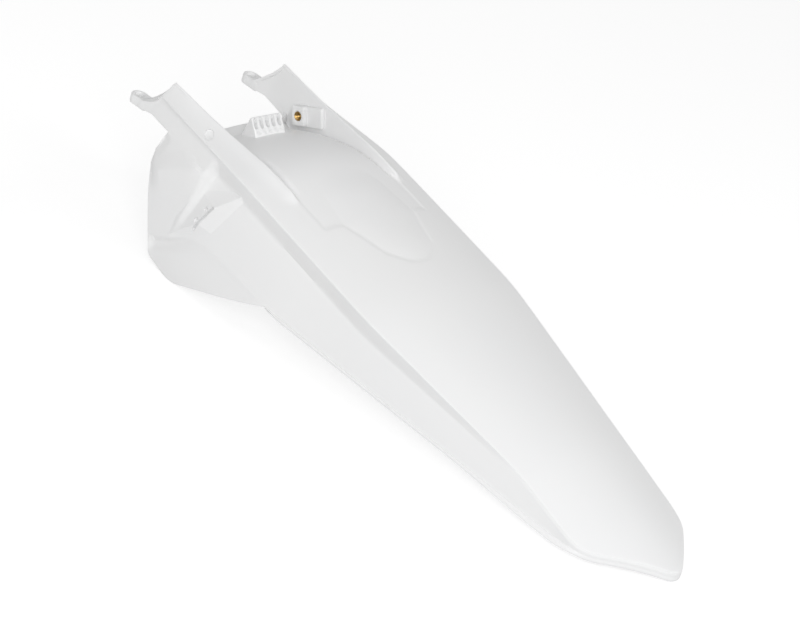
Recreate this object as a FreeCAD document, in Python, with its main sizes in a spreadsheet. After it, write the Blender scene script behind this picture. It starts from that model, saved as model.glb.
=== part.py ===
import FreeCAD
import Part
import math
import os

from FreeCAD import Placement, Rotation, Vector

# Rear mudguard of an off-road motorcycle: one thin moulding with two brass inserts in its arms.
# Frame while modelling: X to the tail, Y to the right, Z up, crease line level, arm tips at X = 0.

DIMENSIONS = (
    # Moulding
    ("wall", 3.0),
    ("blend", 14.0),
    ("overrun", 20.0),
    # Runs along the length, one after the other from the arm tips
    ("ledge_run", 94.0),
    ("fin_run", 36.0),
    ("bed_run", 89.0),
    ("flank_run", 95.0),
    ("taper_run", 194.0),
    ("tail_run", 82.0),
    ("point_run", 61.0),
    # Crease line, half-width and level
    ("crease_tip_half", 80.0),
    ("crease_fin_half", 95.0),
    ("crease_hip_half", 96.5),
    ("crease_waist_half", 70.0),
    ("crease_corner_half", 68.0),
    ("crease_tip_drop", 16.0),
    ("crease_hip_rise", 3.5),
    ("crease_waist_drop", 1.5),
    ("crease_corner_drop", 11.0),
    ("crease_apex_drop", 20.0),
    # Crown of the top panel and the fins of the arms
    ("crown_rise", 17.0),
    ("crown_tail_rise", 20.0),
    ("crown_power", 2.0),
    ("crown_tail_power", 1.35),
    ("band_tip", 11.0),
    ("band_fin", 29.0),
    ("band_hip", 30.5),
    ("band_waist", 22.0),
    ("fin_rise", 11.6),
    ("fin_base", 5.0),
    # Seat bed between the arms
    ("bed_front_x", 46.0),
    ("bed_slope_run", 109.0),
    ("bed_drop", 37.6),
    # Step under the crease
    ("step_drop", 21.0),
    ("arm_side", 28.0),
    ("step_inset", 9.0),
    ("arm_inset", 6.0),
    ("tail_round_drop", 2.5),
    ("tail_round_out", 1.0),
    # Skirt, fold and lip
    ("skirt_flare", 5.8),
    ("skirt_front_drop", 68.0),
    ("skirt_tuck", 1.5),
    ("skirt_corner_fall", 4.5),
    ("skirt_apex_fall", 6.0),
    ("lip_out", 4.5),
    ("lip_drop", 0.8),
    # Wings at the front
    ("fold_x", 128.0),
    ("fold_flare", 1.8),
    ("wing_spread", 5.0),
    ("wing_flare", 7.0),
    ("wing_top_x", 27.0),
    ("wing_nose_x", 21.5),
    ("wing_nose_drop", 66.0),
    ("wing_toe_x", 78.0),
    ("wing_heel_x", 115.0),
    ("wing_drop", 137.0),
    ("wing_waist_x", 184.0),
    ("wing_waist_drop", 93.0),
    ("wing_radius", 16.0),
    ("wing_toe_radius", 7.0),
    ("wing_heel_radius", 26.0),
    # Tail
    ("tail_corner_radius", 30.0),
    ("tail_apex_radius", 14.0),
    ("tail_rim", 7.0),
    # Eyelets at the front of the arms
    ("eyelet_reach", 28.8),
    ("eyelet_inset", 8.6),
    ("eyelet_lift", 4.0),
    ("eyelet_radius", 9.0),
    ("eyelet_flat", 0.9),
    ("eyelet_thickness", 9.0),
    ("eyelet_hole_radius", 4.25),
    ("eyelet_root_width", 13.0),
    # Threaded inserts and their bosses on the inner faces of the arms
    ("insert_x", 48.0),
    ("insert_drop", 22.0),
    ("boss_stand", 5.4),
    ("insert_radius", 4.2),
    ("insert_length", 12.0),
    ("insert_bore_radius", 2.5),
    ("boss_width", 16.0),
    ("boss_head", 9.4),
    ("boss_foot", 13.0),
    ("boss_length", 17.0),
    ("boss_lean", 35.0),
    ("pad_length", 27.0),
    ("pad_head", 8.6),
    ("pad_thickness", 5.0),
    ("pad_step", 4.6),
    # Access holes in the outer faces of the arms
    ("access_x", 64.0),
    ("access_rise", 3.6),
    ("access_radius", 5.5),
    # Ribbed block at the front of the bed
    ("block_x", 55.0),
    ("block_length", 16.0),
    ("block_half", 18.8),
    ("block_height", 20.6),
    ("slot_margin", 2.5),
    ("slot_pitch", 7.4),
    ("slot_width", 3.8),
    ("slot_length", 8.0),
    ("slot_depth", 5.0),
    # Clips on the wings
    ("clip_x", 102.0),
    ("clip_drop", 66.0),
    ("clip_length", 34.0),
    ("clip_width", 22.0),
    ("clip_angle", 69.0),
    ("clip_root", 10.0),
    ("clip_rise", 8.0),
    ("clip_slot_margin", 3.4),
    ("clip_slot_width", 3.0),
    ("clip_slot_depth", 6.0),
)


def make_sheet(doc):
    """Write the driving dimensions to a spreadsheet, one alias a row."""
    sheet = doc.addObject("Spreadsheet::Sheet", "Sheet")
    for row, (alias, value) in enumerate(DIMENSIONS, start=1):
        sheet.set(f"A{row}", alias)
        sheet.set(f"B{row}", str(value))
        sheet.setAlias(f"B{row}", alias)
    doc.recompute()
    return sheet


def add_derived(doc, sheet, guides):
    """Add the places that follow from the guide lines to the sheet, below the driving dimensions."""
    derived = (
        ("gap_half", guides.bed_edge(guides.bed_front_x)[0]),
        ("gap_top", guides.bed_level(guides.bed_front_x) + guides.overrun / 2),
        ("eyelet_half", guides.crease_tip_half - guides.eyelet_inset),
        ("eyelet_drop", guides.crease_tip_drop + guides.arm_side - guides.eyelet_lift),
        ("insert_face_half", guides.bed_edge(guides.insert_x)[0] - guides.boss_stand),
        ("access_half", guides.shoulder(guides.access_x)[0] + 2 * guides.wall),
        ("access_level", guides.crease(guides.access_x)[1] + guides.access_rise),
        ("block_top", guides.bed_level(guides.block_x) + guides.block_height),
    )
    for row, (alias, value) in enumerate(derived, start=len(DIMENSIONS) + 1):
        sheet.set(f"A{row}", alias)
        sheet.set(f"B{row}", str(value))
        sheet.setAlias(f"B{row}", alias)
        setattr(guides, alias, value)
    doc.recompute()


def blended(x, knots, blend):
    """Value at x of a polyline through the knots, its corners rounded as hyperbolas."""
    (start, value), (after, target) = knots[:2]
    slope = (target - value) / (after - start)
    result = value + slope * (x - start)
    for (here, level), (there, goal) in zip(knots[1:], knots[2:]):
        turn = (goal - level) / (there - here) - slope
        result += turn * (x - here + math.hypot(x - here, blend)) / 2
        slope += turn
    return result


class Guides:
    """Guide lines of the moulding, each a function of the station x."""

    def __init__(self, sheet):
        for alias, _ in DIMENSIONS:
            setattr(self, alias, float(sheet.get(alias)))
        self.ledge_end_x = self.ledge_run
        self.fin_end_x = self.ledge_end_x + self.fin_run
        self.skirt_front_x = self.fin_end_x + self.bed_run
        self.hip_x = self.skirt_front_x + self.flank_run
        self.waist_x = self.hip_x + self.taper_run
        self.corner_x = self.waist_x + self.tail_run
        self.apex_x = self.corner_x + self.point_run
        self.end_x = self.apex_x + 2 * self.wall
        self.bed_rear_x = self.bed_front_x + self.bed_slope_run

    def along(self, x, *knots):
        """Rounded polyline through the knots."""
        return blended(x, knots, self.blend)

    def crease(self, x):
        """Half-width and level of the crease between the top panel and the flank."""
        half = self.along(
            x,
            (0, self.crease_tip_half),
            (self.fin_end_x, self.crease_fin_half),
            (self.hip_x, self.crease_hip_half),
            (self.waist_x, self.crease_waist_half),
            (self.corner_x, self.crease_corner_half),
        )
        level = self.along(
            x,
            (0, -self.crease_tip_drop),
            (self.fin_end_x, 0),
            (self.hip_x, self.crease_hip_rise),
            (self.waist_x, -self.crease_waist_drop),
            (self.corner_x, -self.crease_corner_drop),
            (self.apex_x, -self.crease_apex_drop),
        )
        return half, level

    def crown(self, x):
        """Rise of the panel's middle over the crease, and the power of its fall to the sides."""
        rise = self.along(
            x,
            (0, self.crown_rise),
            (self.waist_x, self.crown_rise),
            (self.apex_x, self.crown_tail_rise),
        )
        power = self.along(
            x,
            (0, self.crown_power),
            (self.hip_x, self.crown_power),
            (self.apex_x, self.crown_tail_power),
        )
        return rise, power

    def panel(self, x, y):
        """Level of the top panel at half-width y: round in front, roof-like at the tail."""
        half, level = self.crease(x)
        rise, power = self.crown(x)
        return level + rise * (1 - (y / half) ** power)

    def fall(self, x, y):
        """Sideways fall of the top panel at half-width y, millimetres per millimetre."""
        half = self.crease(x)[0]
        rise, power = self.crown(x)
        return rise * power / half * (y / half) ** (power - 1)

    def shoulder(self, x):
        """Half-width and level of the ridge of the fins, and of the panel behind them."""
        band = self.along(
            x,
            (0, self.band_tip),
            (self.fin_end_x, self.band_fin),
            (self.hip_x, self.band_hip),
            (self.waist_x, self.band_waist),
            (self.corner_x, self.band_waist),
        )
        half = self.crease(x)[0] - band
        rise = self.along(x, (0, self.fin_rise), (self.fin_end_x - self.overrun, 0), (self.waist_x, 0))
        return half, self.panel(x, half) + rise

    def bed_depth(self, x):
        """Depth of the seat bed below the panel, a parabola along the length."""
        reach = max(self.bed_rear_x - max(x, self.bed_front_x), 0)
        return self.bed_drop * (reach / (self.bed_rear_x - self.bed_front_x)) ** 2

    def bed_edge(self, x):
        """Half-width and level of the bed's border at the foot of the fins."""
        half = self.shoulder(x)[0] - self.fin_base
        anchor = max(x, self.bed_front_x)
        return half, self.panel(anchor, half) - self.bed_depth(x)

    def step(self, x):
        """Half-width and level of the foot of the step under the crease."""
        half, level = self.crease(x)
        ledge_x = self.ledge_end_x - self.blend
        inset = self.along(
            x,
            (0, self.arm_inset),
            (ledge_x, self.arm_inset),
            (self.ledge_end_x, self.step_inset),
            (self.hip_x, self.step_inset),
            (self.waist_x, -self.tail_round_out),
            (self.corner_x, -self.tail_round_out),
        )
        drop = self.along(
            x,
            (0, self.arm_side),
            (ledge_x, self.arm_side),
            (self.ledge_end_x, self.step_drop),
            (self.hip_x, self.step_drop),
            (self.waist_x, self.tail_round_drop),
            (self.corner_x, self.tail_round_drop),
        )
        return half - inset, level - drop

    def fold(self, x):
        """Line where the skirt turns out into its lip and the wing into its lower facet."""
        wing = self.crease(self.wing_toe_x)[0] + self.wing_spread
        corner = self.crease(self.corner_x)[0] - self.skirt_tuck
        half = self.along(
            x,
            (0, wing),
            (self.wing_toe_x, wing),
            (self.fold_x, self.crease(self.fold_x)[0] + self.fold_flare),
            (self.skirt_front_x, self.crease(self.skirt_front_x)[0] + self.skirt_flare),
            (self.corner_x, corner),
            (self.apex_x, corner),
        )
        level = self.along(
            x,
            (self.wing_toe_x, -self.wing_drop),
            (self.fold_x, -self.skirt_front_drop),
            (self.skirt_front_x, -self.skirt_front_drop),
            (self.corner_x, -self.crease_corner_drop - self.skirt_corner_fall),
            (self.apex_x, -self.crease_apex_drop - self.skirt_apex_fall),
        )
        return half, level

    def edge(self, x):
        """Lower edge of the section, drawn well below the wing so that the trim sets the outline."""
        half, level = self.fold(x)
        out = self.along(
            x,
            (0, self.lip_out),
            (self.fold_x, self.wing_flare),
            (self.skirt_front_x, self.lip_out),
            (self.corner_x, self.lip_out),
        )
        drop = self.along(
            x,
            (0, self.overrun),
            (self.fold_x, self.wing_drop - self.skirt_front_drop + self.overrun),
            (self.skirt_front_x, self.lip_drop),
            (self.corner_x, self.lip_drop),
        )
        return half + out, level - drop

    def flank(self, x, level):
        """Half-width of the outer face below the step at a given level."""
        line = [self.step(x), self.fold(x), self.edge(x)]
        upper, lower = line[:2] if level > line[1][1] else line[1:]
        share = (level - upper[1]) / (lower[1] - upper[1])
        return upper[0] + share * (lower[0] - upper[0])

    def bed_level(self, x):
        """Level of the bed on the centre plane."""
        return self.panel(max(x, self.bed_front_x), 0) - self.bed_depth(x)

    def top_shape(self, x):
        """Level of the crown at station x and the falls of the panel at the bed's edge and along the band."""
        crown = self.bed_level(x)
        shoulder, crease = self.shoulder(x), self.crease(x)
        chord = (crease[1] - shoulder[1]) / (crease[0] - shoulder[0])
        band = chord + (self.fall(x, crease[0]) - self.fall(x, shoulder[0])) / 2
        return crown, (self.fall(x, self.bed_edge(x)[0]), band)

    def half_section(self, x):
        """Outer corners of one side at station x, from the bed's edge to the lower edge."""
        return [self.bed_edge(x), self.shoulder(x), self.crease(x), self.step(x), self.fold(x), self.edge(x)]


def inward(points, thickness, first_slope):
    """Corners of the inner skin: each outer corner moved by the wall along the mitre of its two faces."""
    heads = [(1.0, first_slope)]
    heads += [(b[0] - a[0], b[1] - a[1]) for a, b in zip(points, points[1:])]
    normals = [(dz / math.hypot(dy, dz), -dy / math.hypot(dy, dz)) for dy, dz in heads]
    normals.append(normals[-1])
    moved = []
    for (y, z), before, after in zip(points, normals, normals[1:]):
        share = thickness / (1 + before[0] * after[0] + before[1] * after[1])
        moved.append((y + share * (before[0] + after[0]), z + share * (before[1] + after[1])))
    return moved


def line(x, start, end):
    """Straight edge between two (y, z) points at station x."""
    return Part.makeLine(Vector(x, *start), Vector(x, *end))


def curve(x, *poles):
    """Bezier edge with (y, z) poles at station x."""
    bezier = Part.BezierCurve()
    bezier.setPoles([Vector(x, *pole) for pole in poles])
    return bezier.toShape()


def mirrored(points):
    """The same (y, z) points on the other side of the centre plane."""
    return [(-y, z) for y, z in points]


def top_edges(x, points, crown, falls):
    """Edges of the top panel at station x, from the left crease over the crown to the right crease."""
    bed, shoulder, crease = points[:3]
    reach = (crease[0] - shoulder[0]) / 2
    middle = (shoulder[0] + reach, shoulder[1] + falls[1] * reach)
    right = (bed, shoulder, middle, crease)
    left = mirrored(right)
    half, level = bed
    flank = level + falls[0] * half / 2
    peak = (16 * crown - 2 * level - 8 * flank) / 6
    arch = curve(x, left[0], (-half / 2, flank), (0, peak), (half / 2, flank), bed)
    bands = [curve(x, *band[1:]) for band in (left, right)]
    walls = [line(x, wall[0], wall[1]) for wall in (left, right)]
    return [bands[0], walls[0], arch, walls[1], bands[1]]


def side_edges(x, points):
    """Edges below the crease at station x: step, skirt and lip."""
    return [line(x, start, end) for start, end in zip(points[2:], points[3:])]


def closed(edges):
    """Closed wire from edges in any order."""
    return Part.Wire(Part.__sortEdges__(edges))


def section(guides, x):
    """Closed thin section of the moulding at station x."""
    outer = guides.half_section(x)
    crown, falls = guides.top_shape(x)
    inner = inward(outer, guides.wall, -falls[0])
    edges = top_edges(x, outer, crown, falls) + top_edges(x, inner, crown - guides.wall, falls)
    for points in (outer, inner):
        edges += side_edges(x, points) + side_edges(x, mirrored(points))
    edges.append(line(x, outer[-1], inner[-1]))
    edges.append(line(x, *mirrored([outer[-1], inner[-1]])))
    return closed(edges)


def slab_section(guides, x, depth):
    """Closed section of the top panel alone at station x, with a depth measured straight down."""
    upper = guides.half_section(x)[:3]
    lower = [(y, z - depth) for y, z in upper]
    crown, falls = guides.top_shape(x)
    edges = top_edges(x, upper, crown, falls) + top_edges(x, lower, crown - depth, falls)
    edges.append(line(x, upper[-1], lower[-1]))
    edges.append(line(x, *mirrored([upper[-1], lower[-1]])))
    return closed(edges)


def rounded_outline(corners, plane):
    """Closed wire through (u, v, radius) corners, laid in space by the function plane(u, v)."""
    starts, ends, middles = [], [], []
    count = len(corners)
    for index, (u, v, radius) in enumerate(corners):
        here = Vector(u, v, 0)
        back = Vector(*corners[index - 1][:2], 0) - here
        ahead = Vector(*corners[(index + 1) % count][:2], 0) - here
        half_angle = back.getAngle(ahead) / 2
        back.normalize()
        ahead.normalize()
        reach = radius / math.tan(half_angle)
        inset = radius / math.sin(half_angle) - radius
        bisector = (back + ahead).normalize()
        starts.append(here + back * reach)
        ends.append(here + ahead * reach)
        middles.append(here + bisector * inset)

    def place(point):
        return plane(point.x, point.y)

    edges = []
    for index, (_, _, radius) in enumerate(corners):
        if radius > 0:
            arc = Part.Arc(place(starts[index]), place(middles[index]), place(ends[index]))
            edges.append(arc.toShape())
        edges.append(Part.makeLine(place(ends[index]), place(starts[(index + 1) % count])))
    return Part.Wire(edges)


def add_shape(doc, name, shape):
    """Keep a shape that has been worked out from the sheet as an object of the document."""
    feature = doc.addObject("Part::Feature", name)
    feature.Shape = shape
    return feature


def bind(feature, expressions):
    """Tie properties of a feature to the sheet."""
    for prop, expression in expressions.items():
        feature.setExpression(prop, expression)


def add_group(doc, kind, name, members):
    """Join several features in one boolean or compound."""
    group = doc.addObject(kind, name)
    if kind == "Part::Compound":
        group.Links = members
    else:
        group.Shapes = members
    return group


def add_cut(doc, name, base, tool):
    """Cut a tool from a base."""
    cut = doc.addObject("Part::Cut", name)
    cut.Base = base
    cut.Tool = tool
    return cut


def make_shell(doc, guides):
    """Loft the thin sections from the arm tips to past the tail's apex."""
    count = 26
    stations = [guides.end_x * index / (count - 1) for index in range(count)]
    wires = [section(guides, x) for x in stations]
    return add_shape(doc, "shell", Part.makeLoft(wires, True, False))


def tail_outline(guides, inset):
    """Corners of the pointed tail in plan, moved inwards by an inset."""
    waist = guides.waist_x
    side = guides.edge(waist)[0] + guides.wall - inset
    corner = guides.edge(guides.corner_x)[0] - inset
    slant = math.hypot(guides.apex_x - guides.corner_x, corner) / corner
    apex = guides.apex_x - inset * slant
    radius = guides.tail_corner_radius - inset
    corner_x = guides.corner_x - inset
    return waist, (
        (waist, -side, 0),
        (corner_x, -corner, radius),
        (apex, 0, guides.tail_apex_radius - inset),
        (corner_x, corner, radius),
        (waist, side, 0),
    )


def make_tail_rim(doc, guides):
    """Rim turned down round the pointed tail: a deep shell cut to a band inside the tail's outline."""
    waist, outer = tail_outline(guides, 0)
    inner = tail_outline(guides, guides.wall)[1]
    base = -3 * guides.wing_drop
    tall = Vector(0, 0, 6 * guides.wing_drop)
    bands = []
    for corners in (outer, inner):
        wire = rounded_outline(corners, lambda u, v: Vector(u, v, base))
        bands.append(Part.Face(wire).extrude(tall))
    band = bands[0].cut(bands[1])
    count = 6
    first = guides.corner_x - guides.overrun
    step = (guides.end_x - first) / (count - 1)
    wires = [slab_section(guides, first + step * index, guides.tail_rim) for index in range(count)]
    deep = Part.makeLoft(wires, True, False)
    return add_shape(doc, "tail_rim", deep.common(band))


def make_trims(doc, guides):
    """Tools that cut the shell to its outline: gap between the arms, wings and pointed tail."""
    gap = doc.addObject("Part::Box", "arm_gap")
    bind(gap, {
        "Length": "Sheet.bed_front_x + Sheet.overrun",
        "Width": "2 * Sheet.gap_half",
        "Height": "2 * Sheet.bed_drop",
        "Placement.Base.x": "-Sheet.overrun",
        "Placement.Base.y": "-Sheet.gap_half",
        "Placement.Base.z": "Sheet.gap_top - 2 * Sheet.bed_drop",
    })

    span = 2 * (guides.edge(guides.skirt_front_x)[0] + 2 * guides.overrun)
    below = -3 * guides.wing_drop
    arm_under = guides.step(guides.wing_top_x)[1] - guides.wall / 3
    tip_under = guides.step(0)[1] - guides.wall / 3
    radius = guides.wing_radius
    front = -guides.overrun
    skirt_level = guides.edge(guides.skirt_front_x)[1]
    wing_outline = (
        (front, tip_under, 0),
        (guides.wing_top_x, arm_under, radius / 4),
        (guides.wing_nose_x, -guides.wing_nose_drop, radius),
        (guides.wing_toe_x, -guides.wing_drop, guides.wing_toe_radius),
        (guides.wing_heel_x, -guides.wing_drop, guides.wing_heel_radius),
        (guides.wing_waist_x, -guides.wing_waist_drop, 2 * radius),
        (guides.skirt_front_x + guides.overrun / 3, skirt_level + guides.wall / 2, 0),
        (guides.skirt_front_x + guides.overrun / 2, below, 0),
        (front, below, 0),
    )
    wire = rounded_outline(wing_outline, lambda u, v: Vector(u, -span / 2, v))
    wings = add_shape(doc, "wing_trim", Part.Face(wire).extrude(Vector(0, span, 0)))

    far = guides.apex_x + 2 * guides.overrun
    waist, corners = tail_outline(guides, 0)
    around = (
        *corners,
        (waist, span / 2, 0),
        (far, span / 2, 0),
        (far, -span / 2, 0),
        (waist, -span / 2, 0),
    )
    wire = rounded_outline(around, lambda u, v: Vector(u, v, -span / 2))
    tail = add_shape(doc, "tail_trim", Part.Face(wire).extrude(Vector(0, 0, span)))
    return [gap, wings, tail]


def make_arm_caps(doc, guides):
    """Close the front ends of the hollow arms with a wall."""
    corners = [guides.bed_edge(0), guides.shoulder(0), guides.crease(0), guides.step(0)]
    caps = []
    for name, sign in (("left_arm_cap", -1), ("right_arm_cap", 1)):
        points = [Vector(0, sign * y, z) for y, z in corners]
        face = Part.Face(Part.makePolygon(points + points[:1]))
        caps.append(add_shape(doc, name, face.extrude(Vector(guides.wall, 0, 0))))
    return caps


def rest_pitch(shape, guides):
    """Pitch at which the wings and the tail touch a level floor together."""
    points = shape.tessellate(0.5)[0]
    wings = [(p.x, p.z) for p in points if p.x < guides.skirt_front_x]
    tail = [(p.x, p.z) for p in points if p.x > guides.waist_x]

    def lowest(group, pitch):
        return min(z * math.cos(pitch) - x * math.sin(pitch) for x, z in group)

    shallow, steep = 0.0, math.radians(40)
    for _ in range(40):
        middle = (shallow + steep) / 2
        if lowest(wings, middle) < lowest(tail, middle):
            shallow = middle
        else:
            steep = middle
    return math.degrees(shallow)


def rest_placement(shape, pitch):
    """Placement that lays the part on the floor, with the origin under the middle of its length."""
    level = Rotation(Vector(0, 1, 0), pitch)
    points = [level.multVec(point) for point in shape.tessellate(0.1)[0]]
    front = min(point.x for point in points)
    rear = max(point.x for point in points)
    floor = min(point.z for point in points)
    return Placement(Vector(-(front + rear) / 2, 0, -floor), level)


def eyelet_length(guides, pitch):
    """Length of an eyelet's tab from its hole to the middle of the arm's front wall."""
    return (guides.eyelet_reach + guides.wall / 2) / math.cos(math.radians(pitch))


def make_eyelets(doc, guides, pitch):
    """Flat eyelets in front of the arms, level when the part rests."""
    radius = guides.eyelet_radius
    root = guides.eyelet_root_width / 2
    length = eyelet_length(guides, pitch)
    outline = (
        (-radius, -radius, radius - guides.eyelet_flat),
        (length, -root, 0),
        (length, root, 0),
        (-radius, radius, radius - guides.eyelet_flat),
    )
    tabs, holes = [], []
    for name, sign in (("left_eyelet", -1), ("right_eyelet", 1)):
        wire = rounded_outline(outline, lambda u, v: Vector(u, v, -guides.eyelet_thickness))
        tab = add_shape(doc, name, Part.Face(wire).extrude(Vector(0, 0, guides.eyelet_thickness)))
        centre = Vector(-guides.eyelet_reach, sign * guides.eyelet_half, -guides.eyelet_drop)
        tab.Placement = Placement(centre, Rotation(Vector(0, 1, 0), -pitch))
        tabs.append(tab)
        hole = doc.addObject("Part::Cylinder", name + "_hole")
        bind(hole, {"Radius": "Sheet.eyelet_hole_radius", "Height": "3 * Sheet.eyelet_thickness"})
        down = Rotation(Vector(0, 1, 0), -pitch).multVec(Vector(0, 0, -2 * guides.eyelet_thickness))
        hole.Placement = Placement(centre + down, Rotation(Vector(0, 1, 0), -pitch))
        holes.append(hole)
    return tabs, holes


def make_noses(doc, guides, pitch):
    """Hollow noses, open below, that carry the walls of the arms down to the eyelets."""
    tilt = math.radians(pitch)
    sunk = guides.wall / 10
    radius = guides.eyelet_radius
    taper = (radius - guides.eyelet_root_width / 2) / (radius + eyelet_length(guides, pitch))
    side = radius - 2 * radius * taper - sunk
    inner, outer = guides.eyelet_half - side, guides.eyelet_half + side
    front = radius * math.cos(tilt) - guides.eyelet_reach
    top = radius * math.sin(tilt) - guides.eyelet_drop - sunk
    low = top - guides.eyelet_thickness + 2 * sunk
    bed, ridge, crease, step = guides.bed_edge(0), guides.shoulder(0), guides.crease(0), guides.step(0)
    lean_in = (ridge[0] - bed[0]) / (ridge[1] - bed[1]) * (top - low)
    lean_out = (crease[0] - step[0]) / (crease[1] - step[1]) * (top - low)
    arm = [bed, ridge, crease, step]
    tip = [(inner, low), (inner + lean_in, top), (outer, top), (outer - lean_out, low)]

    def hollow(corners):
        moved = inward(corners, guides.wall, 0)
        for index in (0, -1):
            moved[index] = (moved[index][0], moved[index][1] - guides.overrun)
        return moved

    def wedge(sign, ends):
        wires = []
        for x, corners in ends:
            points = [Vector(x, sign * y, z) for y, z in corners]
            wires.append(Part.makePolygon(points + points[:1]))
        return Part.makeLoft(wires, True, True)

    noses = []
    for name, sign in (("left_nose", -1), ("right_nose", 1)):
        full = wedge(sign, ((0, arm), (front, tip)))
        space = wedge(sign, ((0, hollow(arm)), (front + guides.wall, hollow(tip))))
        noses.append(add_shape(doc, name, full.cut(space)))
    return noses


def across(feature, sign, half, x, drop):
    """Lay a cylinder along Y, starting at a half-width and running outwards on the side given by sign."""
    feature.Placement = Placement(Vector(0, 0, 0), Rotation(Vector(1, 0, 0), -90 * sign))
    bind(feature, {
        "Placement.Base.x": x,
        "Placement.Base.y": f"{sign} * ({half})",
        "Placement.Base.z": f"-({drop})",
    })


def stand(feature, sign, guides, step, start, low):
    """Stand a box on the sloping bed beside an arm, from a step outside the insert's face."""
    lean = Rotation(Vector(0, 1, 0), -guides.boss_lean)
    depth = float(feature.Width)
    half = guides.insert_face_half + step + depth / 2
    corner = lean.multVec(Vector(start, 0, low))
    middle = Vector(guides.insert_x, sign * half - depth / 2, -guides.insert_drop)
    feature.Placement = Placement(middle + corner, lean)


def make_bosses(doc, guides):
    """Square bosses on the inner faces of the arms, a low pad behind each, and the seats of the inserts."""
    solids, seats = [], []
    for name, sign in (("left", -1), ("right", 1)):
        boss = doc.addObject("Part::Box", name + "_boss")
        bind(boss, {
            "Length": "Sheet.boss_width",
            "Width": "Sheet.boss_length",
            "Height": "Sheet.boss_head + Sheet.boss_foot",
        })
        pad = doc.addObject("Part::Box", name + "_pad")
        bind(pad, {
            "Length": "Sheet.pad_length",
            "Width": "Sheet.pad_thickness",
            "Height": "Sheet.pad_head + Sheet.boss_foot",
        })
        doc.recompute()
        stand(boss, sign, guides, 0, -guides.boss_width / 2, -guides.boss_foot)
        stand(pad, sign, guides, guides.pad_step, 0, -guides.boss_foot)
        seat = doc.addObject("Part::Cylinder", name + "_seat")
        bind(seat, {"Radius": "Sheet.insert_radius", "Height": "Sheet.insert_length"})
        across(seat, sign, "Sheet.insert_face_half", "Sheet.insert_x", "Sheet.insert_drop")
        solids += [boss, pad]
        seats.append(seat)
    return solids, seats


def make_block(doc, guides):
    """Ribbed block across the front of the bed: upright in front, sloping behind, with a row of slots."""
    front, rear = guides.block_x, guides.block_x + guides.block_length
    sunk = guides.wall / 2
    low = guides.bed_level(rear)
    profile = (
        (front, guides.bed_level(front) - sunk),
        (rear, low - sunk),
        (rear, low),
        (front, guides.block_top),
    )
    points = [Vector(x, -guides.block_half, z) for x, z in profile]
    side = Part.Face(Part.makePolygon(points + points[:1]))
    bar = add_shape(doc, "block_bar", side.extrude(Vector(0, 2 * guides.block_half, 0)))
    slope = Rotation(Vector(0, 1, 0), math.degrees(math.atan2(guides.block_top - low, guides.block_length)))
    start = slope.multVec(Vector(guides.slot_margin, 0, -guides.slot_depth))
    slots = []
    for index in range(-2, 3):
        slot = doc.addObject("Part::Box", f"block_slot_{index + 3}")
        bind(slot, {
            "Length": "Sheet.slot_length",
            "Width": "Sheet.slot_width",
            "Height": "2 * Sheet.slot_depth",
        })
        beside = index * guides.slot_pitch - guides.slot_width / 2
        slot.Placement = Placement(Vector(front, beside, guides.block_top) + start, slope)
        slots.append(slot)
    return bar, slots


def make_access_holes(doc):
    """Round holes through the outer faces of the arms, opening into the hollow of each arm."""
    holes = []
    for name, sign in (("left_access", -1), ("right_access", 1)):
        hole = doc.addObject("Part::Cylinder", name)
        bind(hole, {"Radius": "Sheet.access_radius", "Height": "2 * Sheet.overrun"})
        across(hole, sign, "Sheet.access_half", "Sheet.access_x", "-Sheet.access_level")
        holes.append(hole)
    return holes


def make_clips(doc, guides):
    """Clip bosses on the outer faces of the wings: a tapered block with a slot along its rear edge."""
    turn = math.radians(guides.clip_angle)
    face = guides.flank(guides.clip_x, -guides.clip_drop) + guides.clip_rise
    depth = guides.clip_rise + 2 * guides.wall
    lengthwise = Vector(math.cos(turn), 0, math.sin(turn))
    sideways = Vector(math.sin(turn), 0, -math.cos(turn))

    def outline(sign, half, grow):
        centre = Vector(guides.clip_x, sign * half, -guides.clip_drop)
        corners = []
        for along, beside in ((-1, -1), (1, -1), (1, 1), (-1, 1)):
            reach = lengthwise * (along * (guides.clip_length / 2 + grow))
            corners.append(centre + reach + sideways * (beside * (guides.clip_width / 2 + grow)))
        return Part.makePolygon(corners + corners[:1])

    bosses, slots = [], []
    for name, sign in (("left_clip", -1), ("right_clip", 1)):
        base = outline(sign, face - depth, guides.clip_root)
        top = outline(sign, face, 0)
        bosses.append(add_shape(doc, name, Part.makeLoft([base, top], True, True)))
        slot = doc.addObject("Part::Box", name + "_slot")
        bind(slot, {
            "Length": "Sheet.clip_length - 2 * Sheet.clip_slot_margin",
            "Width": "2 * Sheet.clip_slot_depth",
            "Height": "Sheet.clip_slot_width",
        })
        offset = lengthwise * (guides.clip_slot_margin - guides.clip_length / 2)
        offset += sideways * (guides.clip_width / 2 - guides.wall)
        start = Vector(guides.clip_x, sign * face - guides.clip_slot_depth, -guides.clip_drop)
        slot.Placement = Placement(start + offset, Rotation(Vector(0, 1, 0), -guides.clip_angle))
        slots.append(slot)
    return bosses, slots


def make_inserts(doc):
    """Brass inserts with a plain bore, one in each arm, kept as one group."""
    inserts = []
    for name, sign in (("left", -1), ("right", 1)):
        sleeve = doc.addObject("Part::Cylinder", name + "_sleeve")
        bind(sleeve, {"Radius": "Sheet.insert_radius", "Height": "Sheet.insert_length"})
        across(sleeve, sign, "Sheet.insert_face_half", "Sheet.insert_x", "Sheet.insert_drop")
        bore = doc.addObject("Part::Cylinder", name + "_bore")
        bind(bore, {"Radius": "Sheet.insert_bore_radius", "Height": "Sheet.insert_length"})
        across(bore, sign, "Sheet.insert_face_half", "Sheet.insert_x", "Sheet.insert_drop")
        inserts.append(add_cut(doc, name + "_insert", sleeve, bore))
    return add_group(doc, "Part::Compound", "threaded_inserts", inserts)


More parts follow.
